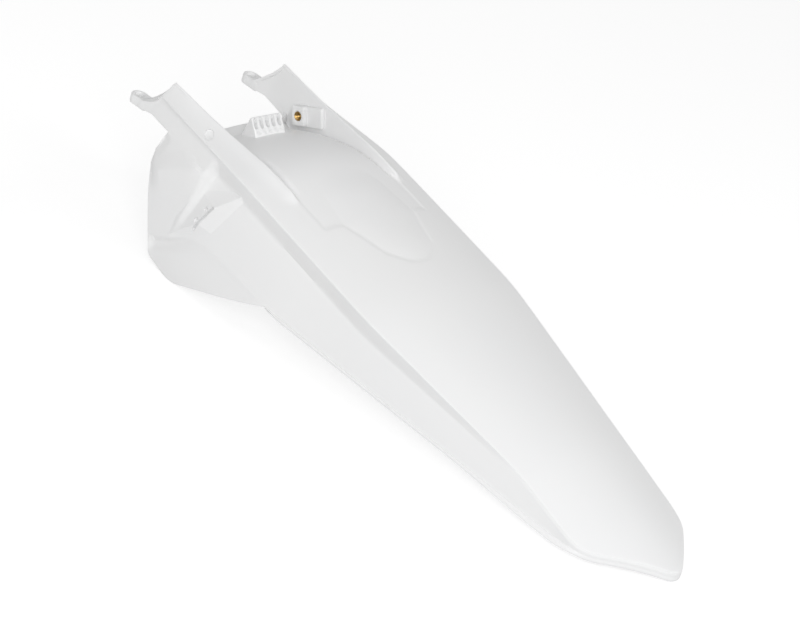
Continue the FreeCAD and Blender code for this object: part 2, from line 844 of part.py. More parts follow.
def main():
    """Build the two nodes, lay them on the floor and write them out."""
    os.makedirs("parts", exist_ok=True)
    doc = FreeCAD.newDocument("rear_mudguard")
    sheet = make_sheet(doc)
    guides = Guides(sheet)
    add_derived(doc, sheet, guides)

    shell = make_shell(doc, guides)
    trims = make_trims(doc, guides)
    trimmed = shell
    for trim in trims:
        trimmed = add_cut(doc, f"shell_less_{trim.Name}", trimmed, trim)
    doc.recompute()
    pitch = rest_pitch(trimmed.Shape, guides)

    tabs, holes = make_eyelets(doc, guides, pitch)
    noses = make_noses(doc, guides, pitch)
    bosses, seats = make_bosses(doc, guides)
    bar, slots = make_block(doc, guides)
    clips, clip_slots = make_clips(doc, guides)
    access = make_access_holes(doc)
    body = add_group(
        doc,
        "Part::MultiFuse",
        "body",
        [
            trimmed,
            make_tail_rim(doc, guides),
            *make_arm_caps(doc, guides),
            *tabs,
            *noses,
            *bosses,
            bar,
            *clips,
        ],
    )
    voids = add_group(doc, "Part::MultiFuse", "voids", [*holes, *seats, *slots, *access, *clip_slots])
    moulding = add_cut(doc, "mudguard_moulding", body, voids)
    inserts = make_inserts(doc)
    doc.recompute()

    rest = rest_placement(moulding.Shape, pitch)
    nodes = (moulding, inserts)
    for node in nodes:
        node.Label = node.Name
        node.Placement = rest
    doc.recompute()

    for item in doc.Objects:
        if "Invalid" in item.State or "Error" in item.State:
            raise RuntimeError(f"{item.Label} did not build")
    for node in nodes:
        if node.Shape.isNull() or not node.Shape.isValid():
            raise RuntimeError(f"{node.Label} is not a sound solid")
        node.Shape.exportStep(f"parts/{node.Label}.step")


main()
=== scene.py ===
"""Looks of a white rear mudguard for an off-road motorcycle.

Every surface is worked out in the part's own frame, in millimetres: X from the arm tips to the tail,
Y to the far flank, Z up with the crease line level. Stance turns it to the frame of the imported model.
"""

import logging
import math
from dataclasses import dataclass
from enum import Enum

import bmesh
import bpy
import numpy as np
from mathutils import Matrix, Vector


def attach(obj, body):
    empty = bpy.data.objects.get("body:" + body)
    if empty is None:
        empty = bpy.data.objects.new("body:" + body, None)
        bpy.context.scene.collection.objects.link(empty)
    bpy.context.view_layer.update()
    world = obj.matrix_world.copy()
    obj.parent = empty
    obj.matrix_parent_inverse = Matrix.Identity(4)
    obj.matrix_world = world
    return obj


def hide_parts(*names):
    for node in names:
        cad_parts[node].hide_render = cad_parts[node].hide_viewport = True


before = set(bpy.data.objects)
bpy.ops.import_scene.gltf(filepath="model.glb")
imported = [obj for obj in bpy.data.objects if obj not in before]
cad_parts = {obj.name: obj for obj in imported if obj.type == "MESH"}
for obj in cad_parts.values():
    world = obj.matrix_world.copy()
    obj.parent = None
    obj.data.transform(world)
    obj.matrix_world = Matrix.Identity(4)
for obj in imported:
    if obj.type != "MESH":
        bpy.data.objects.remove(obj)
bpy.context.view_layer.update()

LOG = logging.getLogger("mudguard")
Array = np.ndarray
MM_PER_M = 1000.0
TINY = 1e-9
SLIVER_M = 1e-6
ARC_POINTS = 4


class Side(Enum):
    """The two flanks of the part, by the sign of Y."""

    NEAR = -1
    FAR = 1


def ease(value: Array) -> Array:
    """Smooth step: 0 below 0, 1 above 1, and 3t^2 - 2t^3 between.

    Args:
        value: Positions along the step.

    Returns:
        The eased share at each position.
    """
    t = np.clip(value, 0.0, 1.0)
    return t * t * (3.0 - 2.0 * t)


def blended(x: Array, knots: tuple, blend: float) -> Array:
    """Polyline through the knots whose corners are rounded as hyperbolas.

    Each corner adds its change of slope times half of (d + hypot(d, blend)), d being the distance past it.

    Args:
        x: Stations along the length.
        knots: Pairs of station and value.
        blend: Size of the rounding.

    Returns:
        The value at each station.
    """
    (start, value), (after, target) = knots[:2]
    slope = (target - value) / (after - start)
    result = value + slope * (x - start)
    for (here, level), (there, goal) in zip(knots[1:], knots[2:]):
        turn = (goal - level) / (there - here) - slope
        result = result + turn * (x - here + np.hypot(x - here, blend)) / 2.0
        slope += turn
    return result


def filleted(corners: list, radii: tuple, runs: tuple, arc: int = ARC_POINTS) -> Array:
    """Profile through corners: straight runs joined by quadratic curves whose middle pole is the corner.

    Args:
        corners: Arrays of shape (stations, 3), one for each corner.
        radii: Length of the curve along each side of every corner, 0 for a sharp one.
        runs: Number of points on each straight run, its two ends included.
        arc: Points inside each curve.

    Returns:
        Array of shape (stations, points, 3).
    """
    longest = 0.45
    heads = [b - a for a, b in zip(corners, corners[1:])]
    lengths = [np.linalg.norm(head, axis=-1, keepdims=True) + TINY for head in heads]
    rows = []
    start = corners[0]
    for index, run in enumerate(runs):
        last = index == len(runs) - 1
        corner = corners[index + 1]
        reach = 0.0
        if not last and radii[index + 1] > 0:
            room = longest * np.minimum(lengths[index], lengths[index + 1])
            reach = np.minimum(radii[index + 1], room)
        end = corner - heads[index] / lengths[index] * reach
        share = np.linspace(0.0, 1.0, run)[:, None, None]
        skip = 1 if index and radii[index] == 0 else 0
        rows.append((start + (end - start) * share)[skip:])
        if last:
            break
        start = corner + heads[index + 1] / lengths[index + 1] * reach
        if radii[index + 1] > 0:
            t = np.linspace(0.0, 1.0, arc + 2)[1:-1, None, None]
            rows.append((1 - t) ** 2 * end + 2 * t * (1 - t) * corner + t ** 2 * start)
    return np.concatenate(rows).transpose(1, 0, 2)


def rounded_path(corners: tuple, count: int = 9) -> Array:
    """Polyline in a plane whose corners are drawn as quadratic curves.

    Args:
        corners: Triples of the two coordinates and the length of the curve along each side.
        count: Points on each curve.

    Returns:
        Array of shape (points, 2).
    """
    points = [np.array(corners[0][:2])[None]]
    for before, here, after in zip(corners, corners[1:], corners[2:]):
        a, b, c = (np.array(corner[:2], dtype=float) for corner in (before, here, after))
        reach = here[2]
        enter = b + (a - b) / np.linalg.norm(a - b) * reach
        leave = b + (c - b) / np.linalg.norm(c - b) * reach
        t = np.linspace(0.0, 1.0, count)[:, None]
        points.append((1 - t) ** 2 * enter + 2 * t * (1 - t) * b + t ** 2 * leave)
    points.append(np.array(corners[-1][:2])[None])
    return np.concatenate(points)


def lengths_along(path: Array) -> Array:
    """Distance of each point of a path from its start, along the path.

    Args:
        path: Array of shape (points, 2).

    Returns:
        Array of shape (points,).
    """
    steps = np.linalg.norm(np.diff(path, axis=0), axis=1)
    return np.concatenate(([0.0], np.cumsum(steps)))


def resampled(path: Array, share: Array) -> Array:
    """Points at given shares of a path's length.

    Args:
        path: Array of shape (points, 2).
        share: Shares between 0 and 1.

    Returns:
        Array of shape (len(share), 2).
    """
    length = lengths_along(path)
    at = share * length[-1]
    return np.stack([np.interp(at, length, path[:, axis]) for axis in (0, 1)], axis=-1)


def grid_faces(rows: int, cols: int, around: bool = False, along: bool = False) -> Array:
    """Four-sided faces of a grid of rows times cols points.

    Args:
        rows: Points along the first parameter.
        cols: Points along the second parameter.
        around: Whether the second parameter closes on itself.
        along: Whether the first parameter closes on itself.

    Returns:
        Array of shape (faces, 4) of point numbers.
    """
    i = np.arange(rows if along else rows - 1)
    j = np.arange(cols if around else cols - 1)
    a, b = np.meshgrid(i, j, indexing="ij")
    down = (a + 1) % rows
    right = (b + 1) % cols
    corners = (a * cols + b, down * cols + b, down * cols + right, a * cols + right)
    return np.stack(corners, axis=-1).reshape(-1, 4)


@dataclass(frozen=True)
class Patch:
    """Points and faces of one surface, in the part's own frame."""

    points: Array
    faces: Array

    @staticmethod
    def of_grid(grid: Array, around: bool = False, along: bool = False) -> "Patch":
        """Patch of a grid of shape (rows, cols, 3), closed on itself as grid_faces says."""
        rows, cols = grid.shape[:2]
        return Patch(grid.reshape(-1, 3), grid_faces(rows, cols, around, along))

    def mirrored(self) -> "Patch":
        """The same surface on the other side of the centre plane, still facing outwards."""
        return Patch(self.points * np.array((1.0, -1.0, 1.0)), self.faces[:, ::-1])

    def flipped(self) -> "Patch":
        """The same surface with its faces turned round."""
        return Patch(self.points, self.faces[:, ::-1])


def joined(patches: list) -> Patch:
    """One patch from several.

    Args:
        patches: Surfaces to put together.

    Returns:
        A patch with all their points and faces.
    """
    offsets = np.cumsum([0] + [len(patch.points) for patch in patches[:-1]])
    points = np.concatenate([patch.points for patch in patches])
    faces = np.concatenate([patch.faces + offset for patch, offset in zip(patches, offsets)])
    return Patch(points, faces)


def soft_box(size: Array, radius: float, count: int = 10) -> Patch:
    """Box with rounded edges: points of a cube pulled in to a core box and pushed out by the radius.

    Args:
        size: The three sides of the box, whose middle is the origin.
        radius: Radius of its edges.
        count: Points along each side of a face.

    Returns:
        A closed patch.
    """
    flat = 0.8
    line = np.concatenate((np.linspace(-1.0, -flat, count // 2), np.linspace(flat, 1.0, count // 2)))
    a, b = np.meshgrid(line, line, indexing="ij")
    one = np.ones_like(a)
    sides = ((one, a, b), (-one, b, a), (b, one, a), (a, -one, b), (a, b, one), (b, a, -one))
    half = size / 2.0
    patches = []
    for side in sides:
        cube = np.stack(side, axis=-1)
        edge = np.clip((np.abs(cube) - flat) / (1.0 - flat), 0.0, 1.0)
        spread = np.sign(cube) * (half - radius * (1.0 - edge))
        core = np.clip(spread, -(half - radius), half - radius)
        push = spread - core
        length = np.linalg.norm(push, axis=-1, keepdims=True)
        patches.append(Patch.of_grid(core + push / np.maximum(length, TINY) * radius))
    return joined(patches)


def ring_grid(outer: Array, angle: Array, hole: float, depth: float, soft: float) -> Array:
    """Plate with a round hole: a section with soft corners between hole and outline, carried round the hole.

    Args:
        outer: Radius of the outline at each angle.
        angle: Angles round the hole.
        hole: Radius of the hole.
        depth: Thickness of the plate, below its face at level 0.
        soft: Size of the soft corners.

    Returns:
        Grid of shape (angles, points, 3) that closes both ways.
    """
    cut = 0.3 * soft
    low = ((soft, -depth), (cut, cut - depth), (0, soft - depth))
    high = ((0, -soft), (cut, -cut), (soft, 0))
    corner = np.array((*low, *high))
    inner = np.insert(corner, 0, 0.0, axis=1)
    rim = np.insert(corner[::-1] * np.array((-1.0, 1.0)), 0, 1.0, axis=1)
    section = np.concatenate((inner, rim))
    rho = hole + (outer - hole)[:, None] * section[None, :, 0] + section[None, :, 1]
    level = np.broadcast_to(section[:, 2], rho.shape)
    return np.stack((rho * np.cos(angle)[:, None], rho * np.sin(angle)[:, None], level), axis=-1)


def full_turn(count: int) -> Array:
    """Equal angles round a circle, its start not repeated."""
    return np.linspace(0.0, 2 * np.pi, count, endpoint=False)


@dataclass(frozen=True)
class Stance:
    """How the part lies on the floor: its pitch, and the place of its own origin."""

    pitch_deg: float = 13.42408
    base: tuple = (-291.395, 0.0, 158.905)

    def rotation(self, degrees: float) -> Array:
        """Matrix that turns row vectors about Y when they are multiplied by it from the left."""
        a = math.radians(degrees)
        return np.array(((math.cos(a), 0, math.sin(a)), (0, 1, 0), (-math.sin(a), 0, math.cos(a)))).T

    def turn(self, vectors: Array) -> Array:
        """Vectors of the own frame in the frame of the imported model."""
        return np.asarray(vectors) @ self.rotation(self.pitch_deg)

    def level(self, vectors: Array) -> Array:
        """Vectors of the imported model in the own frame."""
        return np.asarray(vectors) @ self.rotation(-self.pitch_deg)

    def to_row(self, points: Array) -> Array:
        """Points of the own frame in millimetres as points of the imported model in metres."""
        return (self.turn(points) + np.array(self.base)) / MM_PER_M


STANCE = Stance()


class Dressing:
    """A new material with one principled shader, and ways to vary that shader."""

    def __init__(self, name: str) -> None:
        """Start the material.

        Args:
            name: Name of the material.
        """
        self.material = bpy.data.materials.new(name)
        self.material.use_nodes = True
        self.nodes = self.material.node_tree.nodes
        self.links = self.material.node_tree.links
        self.shader = self.nodes["Principled BSDF"]
        self.place = self.nodes.new("ShaderNodeTexCoord").outputs["Object"]

    def stretched(self, scale: tuple) -> bpy.types.NodeSocket:
        """Object coordinates scaled along each axis.

        Args:
            scale: Factor for each axis.

        Returns:
            The socket of the scaled coordinates.
        """
        mapping = self.nodes.new("ShaderNodeMapping")
        mapping.inputs["Scale"].default_value = scale
        self.links.new(self.place, mapping.inputs["Vector"])
        return mapping.outputs["Vector"]

    def noise(self, place: bpy.types.NodeSocket, scale: float, detail: float) -> bpy.types.NodeSocket:
        """Noise over a piece.

        Args:
            place: Coordinates that the noise reads.
            scale: Fineness of the noise.
            detail: Number of finer layers.

        Returns:
            The socket of its value.
        """
        noise = self.nodes.new("ShaderNodeTexNoise")
        noise.inputs["Scale"].default_value = scale
        noise.inputs["Detail"].default_value = detail
        self.links.new(place, noise.inputs["Vector"])
        return noise.outputs["Fac"]

    def tint(self, factor: bpy.types.NodeSocket, first: tuple, second: tuple) -> None:
        """Let a value mix two colours.

        Args:
            factor: Socket of the value.
            first: Colour at 0.
            second: Colour at 1.
        """
        mix = self.nodes.new("ShaderNodeMix")
        mix.data_type = "RGBA"
        mix.inputs["A"].default_value = (*first, 1)
        mix.inputs["B"].default_value = (*second, 1)
        self.links.new(factor, mix.inputs["Factor"])
        self.links.new(mix.outputs["Result"], self.shader.inputs["Base Color"])

    def gloss(self, factor: bpy.types.NodeSocket, low: float, high: float) -> None:
        """Let a value spread the roughness.

        Args:
            factor: Socket of the value.
            low: Roughness at 0.
            high: Roughness at 1.
        """
        spread = self.nodes.new("ShaderNodeMapRange")
        spread.inputs["To Min"].default_value = low
        spread.inputs["To Max"].default_value = high
        self.links.new(factor, spread.inputs["Value"])
        self.links.new(spread.outputs["Result"], self.shader.inputs["Roughness"])

    def bump(self, height: bpy.types.NodeSocket, strength: float, distance: float) -> None:
        """Let a value roughen the surface.

        Args:
            height: Socket of the value.
            strength: Share of the effect.
            distance: Height in metres.
        """
        bump = self.nodes.new("ShaderNodeBump")
        bump.inputs["Strength"].default_value = strength
        bump.inputs["Distance"].default_value = distance
        self.links.new(height, bump.inputs["Height"])
        self.links.new(bump.outputs["Normal"], self.shader.inputs["Normal"])


@dataclass(frozen=True)
class WhitePlastic:
    """Moulded white polypropylene: a clean gloss with faint flow marks and a fine skin."""

    colour: tuple = (0.83, 0.83, 0.825)
    shade: tuple = (0.80, 0.803, 0.81)
    roughness: tuple = (0.29, 0.40)
    flow: tuple = (9.0, 3.0)
    flow_stretch: tuple = (0.5, 1.4, 1.4)
    grain: tuple = (900.0, 2.0)
    grain_bump: tuple = (0.05, 0.0002)
    ior: float = 1.49

    def build(self) -> bpy.types.Material:
        """Make the material.

        Returns:
            A material whose colour, roughness and bump come from noise on object coordinates.
        """
        dressing = Dressing("white_plastic")
        flow = dressing.noise(dressing.stretched(self.flow_stretch), *self.flow)
        dressing.tint(flow, self.colour, self.shade)
        dressing.gloss(flow, *self.roughness)
        dressing.bump(dressing.noise(dressing.place, *self.grain), *self.grain_bump)
        dressing.shader.inputs["IOR"].default_value = self.ior
        return dressing.material


@dataclass(frozen=True)
class TurnedBrass:
    """Brass turned on a lathe: mottled, with fine rings round the axis."""

    colour: tuple = (0.52, 0.35, 0.13)
    dull: tuple = (0.28, 0.17, 0.06)
    roughness: tuple = (0.24, 0.44)
    mottling: tuple = (420.0, 4.0)
    ring_scale: float = 1500.0
    ring_bump: tuple = (0.2, 0.0001)

    def build(self) -> bpy.types.Material:
        """Make the material.

        Returns:
            A metal whose colour and roughness vary with noise, with fine turning marks as bump.
        """
        dressing = Dressing("turned_brass")
        mottling = dressing.noise(dressing.place, *self.mottling)
        dressing.tint(mottling, self.colour, self.dull)
        dressing.gloss(mottling, *self.roughness)
        rings = dressing.nodes.new("ShaderNodeTexWave")
        rings.bands_direction = "Y"
        rings.inputs["Scale"].default_value = self.ring_scale
        dressing.links.new(dressing.place, rings.inputs["Vector"])
        dressing.bump(rings.outputs["Fac"], *self.ring_bump)
        dressing.shader.inputs["Metallic"].default_value = 1.0
        return dressing.material


@dataclass(frozen=True)
class PaleFloor:
    """White studio floor that keeps the part's soft shadow."""

    colour: tuple = (0.42, 0.42, 0.42)
    glow: float = 0.70
    bounce: float = 0.34

    def build(self) -> bpy.types.Material:
        """Make the material.

        Returns:
            A matt floor with an even glow, which is weaker where it lights the part.
        """
        material = bpy.data.materials.new("pale_floor")
        material.use_nodes = True
        nodes, links = material.node_tree.nodes, material.node_tree.links
        nodes.clear()
        out = nodes.new("ShaderNodeOutputMaterial")
        matt = nodes.new("ShaderNodeBsdfDiffuse")
        matt.inputs["Color"].default_value = (*self.colour, 1)
        glow = nodes.new("ShaderNodeEmission")
        both = nodes.new("ShaderNodeAddShader")
        path = nodes.new("ShaderNodeLightPath")
        level = nodes.new("ShaderNodeMapRange")
        level.inputs["To Min"].default_value = self.glow
        level.inputs["To Max"].default_value = self.bounce
        links.new(path.outputs["Is Diffuse Ray"], level.inputs["Value"])
        links.new(level.outputs["Result"], glow.inputs["Strength"])
        links.new(matt.outputs[0], both.inputs[0])
        links.new(glow.outputs[0], both.inputs[1])
        links.new(both.outputs[0], out.inputs["Surface"])
        return material


def add_piece(
    name: str, patch: Patch, material: bpy.types.Material, weld: float = 0.02
) -> bpy.types.Object:
    """Put a patch into the scene as a smooth mesh with sharp creases kept.

    Args:
        name: Name of the object.
        patch: Surface in the own frame.
        material: Finish of the piece.
        weld: Distance in millimetres within which points are merged.

    Returns:
        The new object.
    """
    mesh = bpy.data.meshes.new(name)
    mesh.from_pydata(STANCE.to_row(patch.points).tolist(), [], patch.faces.tolist())
    work = bmesh.new()
    work.from_mesh(mesh)
    bmesh.ops.remove_doubles(work, verts=work.verts, dist=weld / MM_PER_M)
    bmesh.ops.dissolve_degenerate(work, edges=work.edges, dist=SLIVER_M)
    work.to_mesh(mesh)
    work.free()
    piece = bpy.data.objects.new(name, mesh)
    bpy.context.scene.collection.objects.link(piece)
    mesh.materials.append(material)
    soften(mesh)
    return piece


def soften(mesh: bpy.types.Mesh, angle_deg: float = 38.0) -> None:
    """Shade a mesh smooth, but for its sharp edges.

    Args:
        mesh: Mesh to shade.
        angle_deg: Angle above which an edge is sharp.
    """
    mesh.polygons.foreach_set("use_smooth", np.ones(len(mesh.polygons), dtype=bool))
    mesh.set_sharp_from_angle(angle=math.radians(angle_deg))
    mesh.update()


def settle(piece: bpy.types.Object) -> None:
    """Apply the live modifiers of a piece to its mesh.

    Args:
        piece: Object whose modifiers are applied.
    """
    graph = bpy.context.evaluated_depsgraph_get()
    done = bpy.data.meshes.new_from_object(piece.evaluated_get(graph))
    old = piece.data
    piece.modifiers.clear()
    piece.data = done
    done.name = piece.name
    bpy.data.meshes.remove(old)
    soften(done)


def face_out(mesh: bpy.types.Mesh) -> None:
    """Turn all faces the same way, with the top of the panel facing up.

    Args:
        mesh: Mesh to mend in place.
    """
    middle = 0.02
    work = bmesh.new()
    work.from_mesh(mesh)
    bmesh.ops.recalc_face_normals(work, faces=work.faces)
    work.to_mesh(mesh)
    work.free()
    normals = np.empty(3 * len(mesh.polygons))
    centres = np.empty(3 * len(mesh.polygons))
    mesh.polygons.foreach_get("normal", normals)
    mesh.polygons.foreach_get("center", centres)
    on_top = np.abs(centres[1::3]) < middle
    if normals[2::3][on_top].sum() < 0:
        mesh.flip_normals()
    soften(mesh)


def dress(piece: bpy.types.Object, node: str) -> None:
    """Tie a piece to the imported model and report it.

    Args:
        piece: Object to tie.
        node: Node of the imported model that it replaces.
    """
    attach(piece, "root")
    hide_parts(node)
    LOG.info("%s: %d faces", piece.name, len(piece.data.polygons))


@dataclass(frozen=True)
class SeatRelief:
    """Sunk floor behind the seat, with a raised tongue in its middle."""

    halves: tuple = (0.0, 9.0, 16.0, 31.0, 38.0, 46.0, 52.0, 80.0)
    ends: tuple = (275.0, 274.0, 271.0, 256.0, 234.0, 214.0, 212.0, 212.0)
    depth: float = 0.9
    edge: float = 6.0
    tongue_x: tuple = (146.0, 150.0, 158.0, 173.0, 208.0, 214.0, 234.0, 256.0, 271.0, 275.0)
    tongue_halves: tuple = (0.1, 16.0, 28.0, 37.0, 43.0, 45.0, 37.0, 30.0, 15.0, 0.1)
    tongue_height: float = 2.1
    tongue_power: float = 2.2
    tongue_grow: float = 42.0
    tongue_stop: float = 279.0
    tongue_fade: float = 40.0

    def floor(self, x: Array, y: Array) -> Array:
        """Depth of the floor: a smooth step across its outline, as wide as its edge square to that outline.

        Args:
            x: Stations along the length.
            y: Distances from the centre plane.

        Returns:
            The depth at each point.
        """
        half = np.abs(y)
        end = np.interp(half, self.halves, self.ends)
        outer = np.interp(half + 1.0, self.halves, self.ends)
        inner = np.interp(half - 1.0, self.halves, self.ends)
        slope = (outer - inner) / 2.0
        return self.depth * ease(0.5 + (end - x) / (self.edge * np.hypot(1.0, slope)))

    def tongue(self, x: Array, y: Array) -> Array:
        """Height of the tongue: a dome across its width that grows from its front and fades at its rear.

        Args:
            x: Stations along the length.
            y: Distances from the centre plane.

        Returns:
            The height at each point.
        """
        width = np.interp(x, self.tongue_x, self.tongue_halves)
        dome = np.maximum(1.0 - (np.abs(y) / width) ** self.tongue_power, 0.0)
        grow = ease((x - self.tongue_x[0]) / self.tongue_grow)
        fade = np.sqrt(ease((self.tongue_stop - x) / self.tongue_fade))
        return self.tongue_height * grow * dome * fade


@dataclass(frozen=True)
class WingRelief:
    """Soft forms on the outer face of a wing, as distances across that face.

    Each form is its height times smooth steps that start and end it over the stated runs.
    """

    front_drops: tuple = (30.0, 44.0, 66.0, 137.0)
    front_x: tuple = (28.0, 26.0, 20.5, 78.0)
    heel_x: float = 128.0
    nook_depth: float = 3.4
    nook_edge: float = 4.0
    nook_back: tuple = (6.0, 12.0)
    nook_loss: float = 0.85
    nook_run: float = 45.0
    nook_front: float = 7.0
    line_height: float = 0.8
    line_half: float = 2.2
    line_start: tuple = (95.0, 30.0)
    line_stop: tuple = (222.0, 12.0)
    swell_height: float = 4.6
    swell_point: tuple = (84.0, -28.0)
    swell_along: tuple = (37.0, 33.0)
    swell_length: float = 49.6
    swell_runs: tuple = (17.0, 24.0)
    swell_stop: tuple = (100.0, 26.0)
    swell_front: float = 24.0
    turn_depth: float = 3.0
    turn_run: float = 13.0
    turn_power: float = 1.5
    turn_stop: tuple = (-96.0, 30.0)

    def from_front(self, x: Array, z: Array) -> Array:
        """Distance of a point behind the wing's front edge at its level."""
        return x - np.interp(-z, self.front_drops, self.front_x)

    def nook(self, x: Array, z: Array, past: Array) -> Array:
        """Depth of the nook under the fold, which is deepest just below it.

        Args:
            x: Stations along the length.
            z: Levels.
            past: Distances below the fold.

        Returns:
            The depth at each point.
        """
        start, run = self.nook_back
        left = 1.0 - self.nook_loss * ease((past - start) / run)
        reach = ease((self.heel_x - x) / self.nook_run) * ease(self.from_front(x, z) / self.nook_front)
        return self.nook_depth * ease(past / self.nook_edge) * left * reach

    def line(self, x: Array, past: Array) -> Array:
        """Height of the fine line along the fold, a bell curve across it.

        Args:
            x: Stations along the length.
            past: Distances below the fold.

        Returns:
            The height at each point.
        """
        start, grow = self.line_start
        stop, fade = self.line_stop
        bell = np.exp(-((past / self.line_half) ** 2))
        return self.line_height * bell * ease((x - start) / grow) * ease((stop - x) / fade)

    def swell(self, x: Array, z: Array) -> Array:
        """Ridge across the wing along a line in side view, with a straight slope on each side of it.

        Args:
            x: Stations along the length.
            z: Levels.

        Returns:
            The height at each point.
        """
        (start, level), (ahead, rise) = self.swell_point, self.swell_along
        past = ((x - start) * rise - (z - level) * ahead) / self.swell_length
        front, rear = self.swell_runs
        slopes = np.minimum(np.clip(1.0 + past / front, 0.0, 1.0), np.clip(1.0 - past / rear, 0.0, 1.0))
        stop, fade = self.swell_stop
        reach = ease((stop - x) / fade) * ease(self.from_front(x, z) / self.swell_front)
        return self.swell_height * slopes * reach

    def turn(self, x: Array, z: Array) -> Array:
        """How far the face turns in along the wing's front edge.

        Args:
            x: Stations along the length.
            z: Levels.

        Returns:
            The depth at each point.
        """
        stop, fade = self.turn_stop
        near = ease(1.0 - self.from_front(x, z) / self.turn_run) ** self.turn_power
        return self.turn_depth * near * ease((z - stop) / fade)


@dataclass(frozen=True)
class GuideLines:
    """Lines that shape the moulding, each a function of the station along the length."""

    seat: SeatRelief = SeatRelief()
    wing: WingRelief = WingRelief()
    blend: float = 14.0
    ledge_x: float = 94.0
    ledge_lead: float = 6.0
    ledge_run: float = 9.0
    fin_x: float = 130.0
    fin_tip_x: float = 177.0
    skirt_x: float = 219.0
    hip_x: float = 314.0
    waist_x: float = 508.0
    corner_x: float = 590.0
    apex_x: float = 651.0
    crease_halves: tuple = (80.0, 95.0, 96.5, 70.0, 68.0)
    crease_levels: tuple = (-16.0, 0.0, 3.5, -1.5, -11.0, -20.0)
    band_widths: tuple = (11.0, 29.0, 30.5, 22.0, 22.0)
    panel_rises: tuple = (17.0, 17.0, 20.0)
    panel_powers: tuple = (2.0, 2.0, 1.85)
    bed_front_x: float = 40.0
    bed_anchor_x: float = 46.0
    bed_level_x: float = 52.0
    bed_rear_x: float = 155.0
    bed_drop: float = 37.6
    fin_base: float = 3.4
    fin_rise: float = 11.6
    fin_lead: float = 20.0
    bead_rise: float = 4.2
    bead_point: float = 15.0
    bead_start: tuple = (40.0, 90.0)
    valley_depth: float = 8.0
    valley_width: float = 12.0
    valley_tip: float = 4.0
    valley_run: float = 90.0
    valley_flat: float = 1.3
    valley_start: tuple = (30.0, 25.0)
    valley_stop: tuple = (176.0, 45.0)
    arm_side: float = 22.0
    arm_inset: float = -0.6
    step_drop: float = 21.0
    step_inset: float = 9.0
    fade_blend: float = 5.0
    fade_out: float = 1.0
    fade_drop: float = 2.5
    wing_low_x: float = 78.0
    fold_front_x: float = 70.0
    fold_knee_x: float = 121.0
    fold_halves: tuple = (94.0, 94.0, 96.2, 101.5, 66.5, 66.5)
    fold_levels: tuple = (-122.0, -76.0, -68.0, -15.5, -26.0)
    fold_round: float = 4.0
    under_slope: float = 0.07
    under_gain: float = 0.1
    under_run: float = 90.0
    wing_end: tuple = (4.0, 30.0)
    swell_soft: float = 3.0
    turn_soft: float = 10.0

    def along(self, x: Array, stations: tuple, values: tuple) -> Array:
        """Rounded polyline through values at stations."""
        return blended(x, tuple(zip(stations, values)), self.blend)

    def stops(self) -> tuple:
        """Main stations from the arm tips to the apex of the tail."""
        return 0.0, self.fin_x, self.hip_x, self.waist_x, self.corner_x, self.apex_x

    def crease(self, x: Array) -> tuple:
        """Half-width and level of the crease line."""
        stops = self.stops()
        return self.along(x, stops, self.crease_halves), self.along(x, stops, self.crease_levels)

    def panel(self, x: Array, y: Array) -> Array:
        """Level of the top panel: crease level plus a rise that falls off as a power of the half-width.

        Args:
            x: Stations along the length.
            y: Distances from the centre plane.

        Returns:
            The level at each point.
        """
        half, level = self.crease(x)
        rise = self.along(x, (0.0, self.waist_x, self.apex_x), self.panel_rises)
        power = self.along(x, (0.0, self.hip_x, self.apex_x), self.panel_powers)
        return level + rise * (1.0 - (np.abs(y) / half) ** power)

    def bed_depth(self, x: Array) -> Array:
        """Depth of the seat bed below the panel, a parabola from its rear to its front edge."""
        reach = np.maximum(self.bed_rear_x - np.maximum(x, self.bed_anchor_x), 0.0)
        return self.bed_drop * (reach / (self.bed_rear_x - self.bed_anchor_x)) ** 2

    def bed(self, x: Array, y: Array) -> Array:
        """Level of the top between the fins: the panel less the bed's depth, with its reliefs and valleys.

        In front the bed's depth stays the same, but for a strip as wide as the valley beside each fin.

        Args:
            x: Stations along the length.
            y: Distances from the centre plane.

        Returns:
            The level at each point.
        """
        anchor = np.maximum(x, self.bed_anchor_x)
        apron = self.bed_depth(x) - self.bed_depth(np.maximum(x, self.bed_level_x))
        raised = apron * ease((self.fin_foot(x) - np.abs(y)) / self.valley_width)
        relief = self.seat.tongue(x, y) - self.seat.floor(x, y)
        return self.panel(anchor, y) - self.bed_depth(x) + raised + relief - self.valley(x, y)

    def valley(self, x: Array, y: Array) -> Array:
        """Depth of the valleys along the feet of the fins, which narrow towards the fins' tips.

        Args:
            x: Stations along the length.
            y: Distances from the centre plane.

        Returns:
            The depth at each point.
        """
        start, grow = self.valley_start
        stop, fade = self.valley_stop
        reach = ease((stop - x) / fade) * ease((x - start) / grow)
        opened = ease((self.fin_tip_x - x) / self.valley_run)
        width = self.valley_tip + (self.valley_width - self.valley_tip) * opened
        return self.valley_depth * reach * ease(self.valley_flat - (self.fin_foot(x) - np.abs(y)) / width)

    def shoulder(self, x: Array) -> tuple:
        """Half-width and level of the fins' ridge.

        Args:
            x: Stations along the length.

        Returns:
            Two arrays, one value for each station.
        """
        half = self.crease(x)[0] - self.along(x, self.stops(), self.band_widths)
        stations = (0.0, self.fin_x - self.fin_lead, self.waist_x)
        rise = self.along(x, stations, (self.fin_rise, 0.0, 0.0))
        return half, self.panel(x, half) + rise + self.bead(x)

    def fin_foot(self, x: Array) -> Array:
        """Half-width of the inner foot of the fins."""
        return self.shoulder(x)[0] - self.fin_base

    def bead(self, x: Array) -> Array:
        """Height of the bead along the fins' ridge, which ends in a point."""
        start, grow = self.bead_start
        return self.bead_rise * ease((self.fin_tip_x - x) / self.bead_point) * ease((x - start) / grow)

    def ledge(self, x: Array) -> Array:
        """Share of the undercut step: 0 on the arm's side, 1 behind the ledge."""
        return ease((x - self.ledge_x + self.ledge_lead) / self.ledge_run)

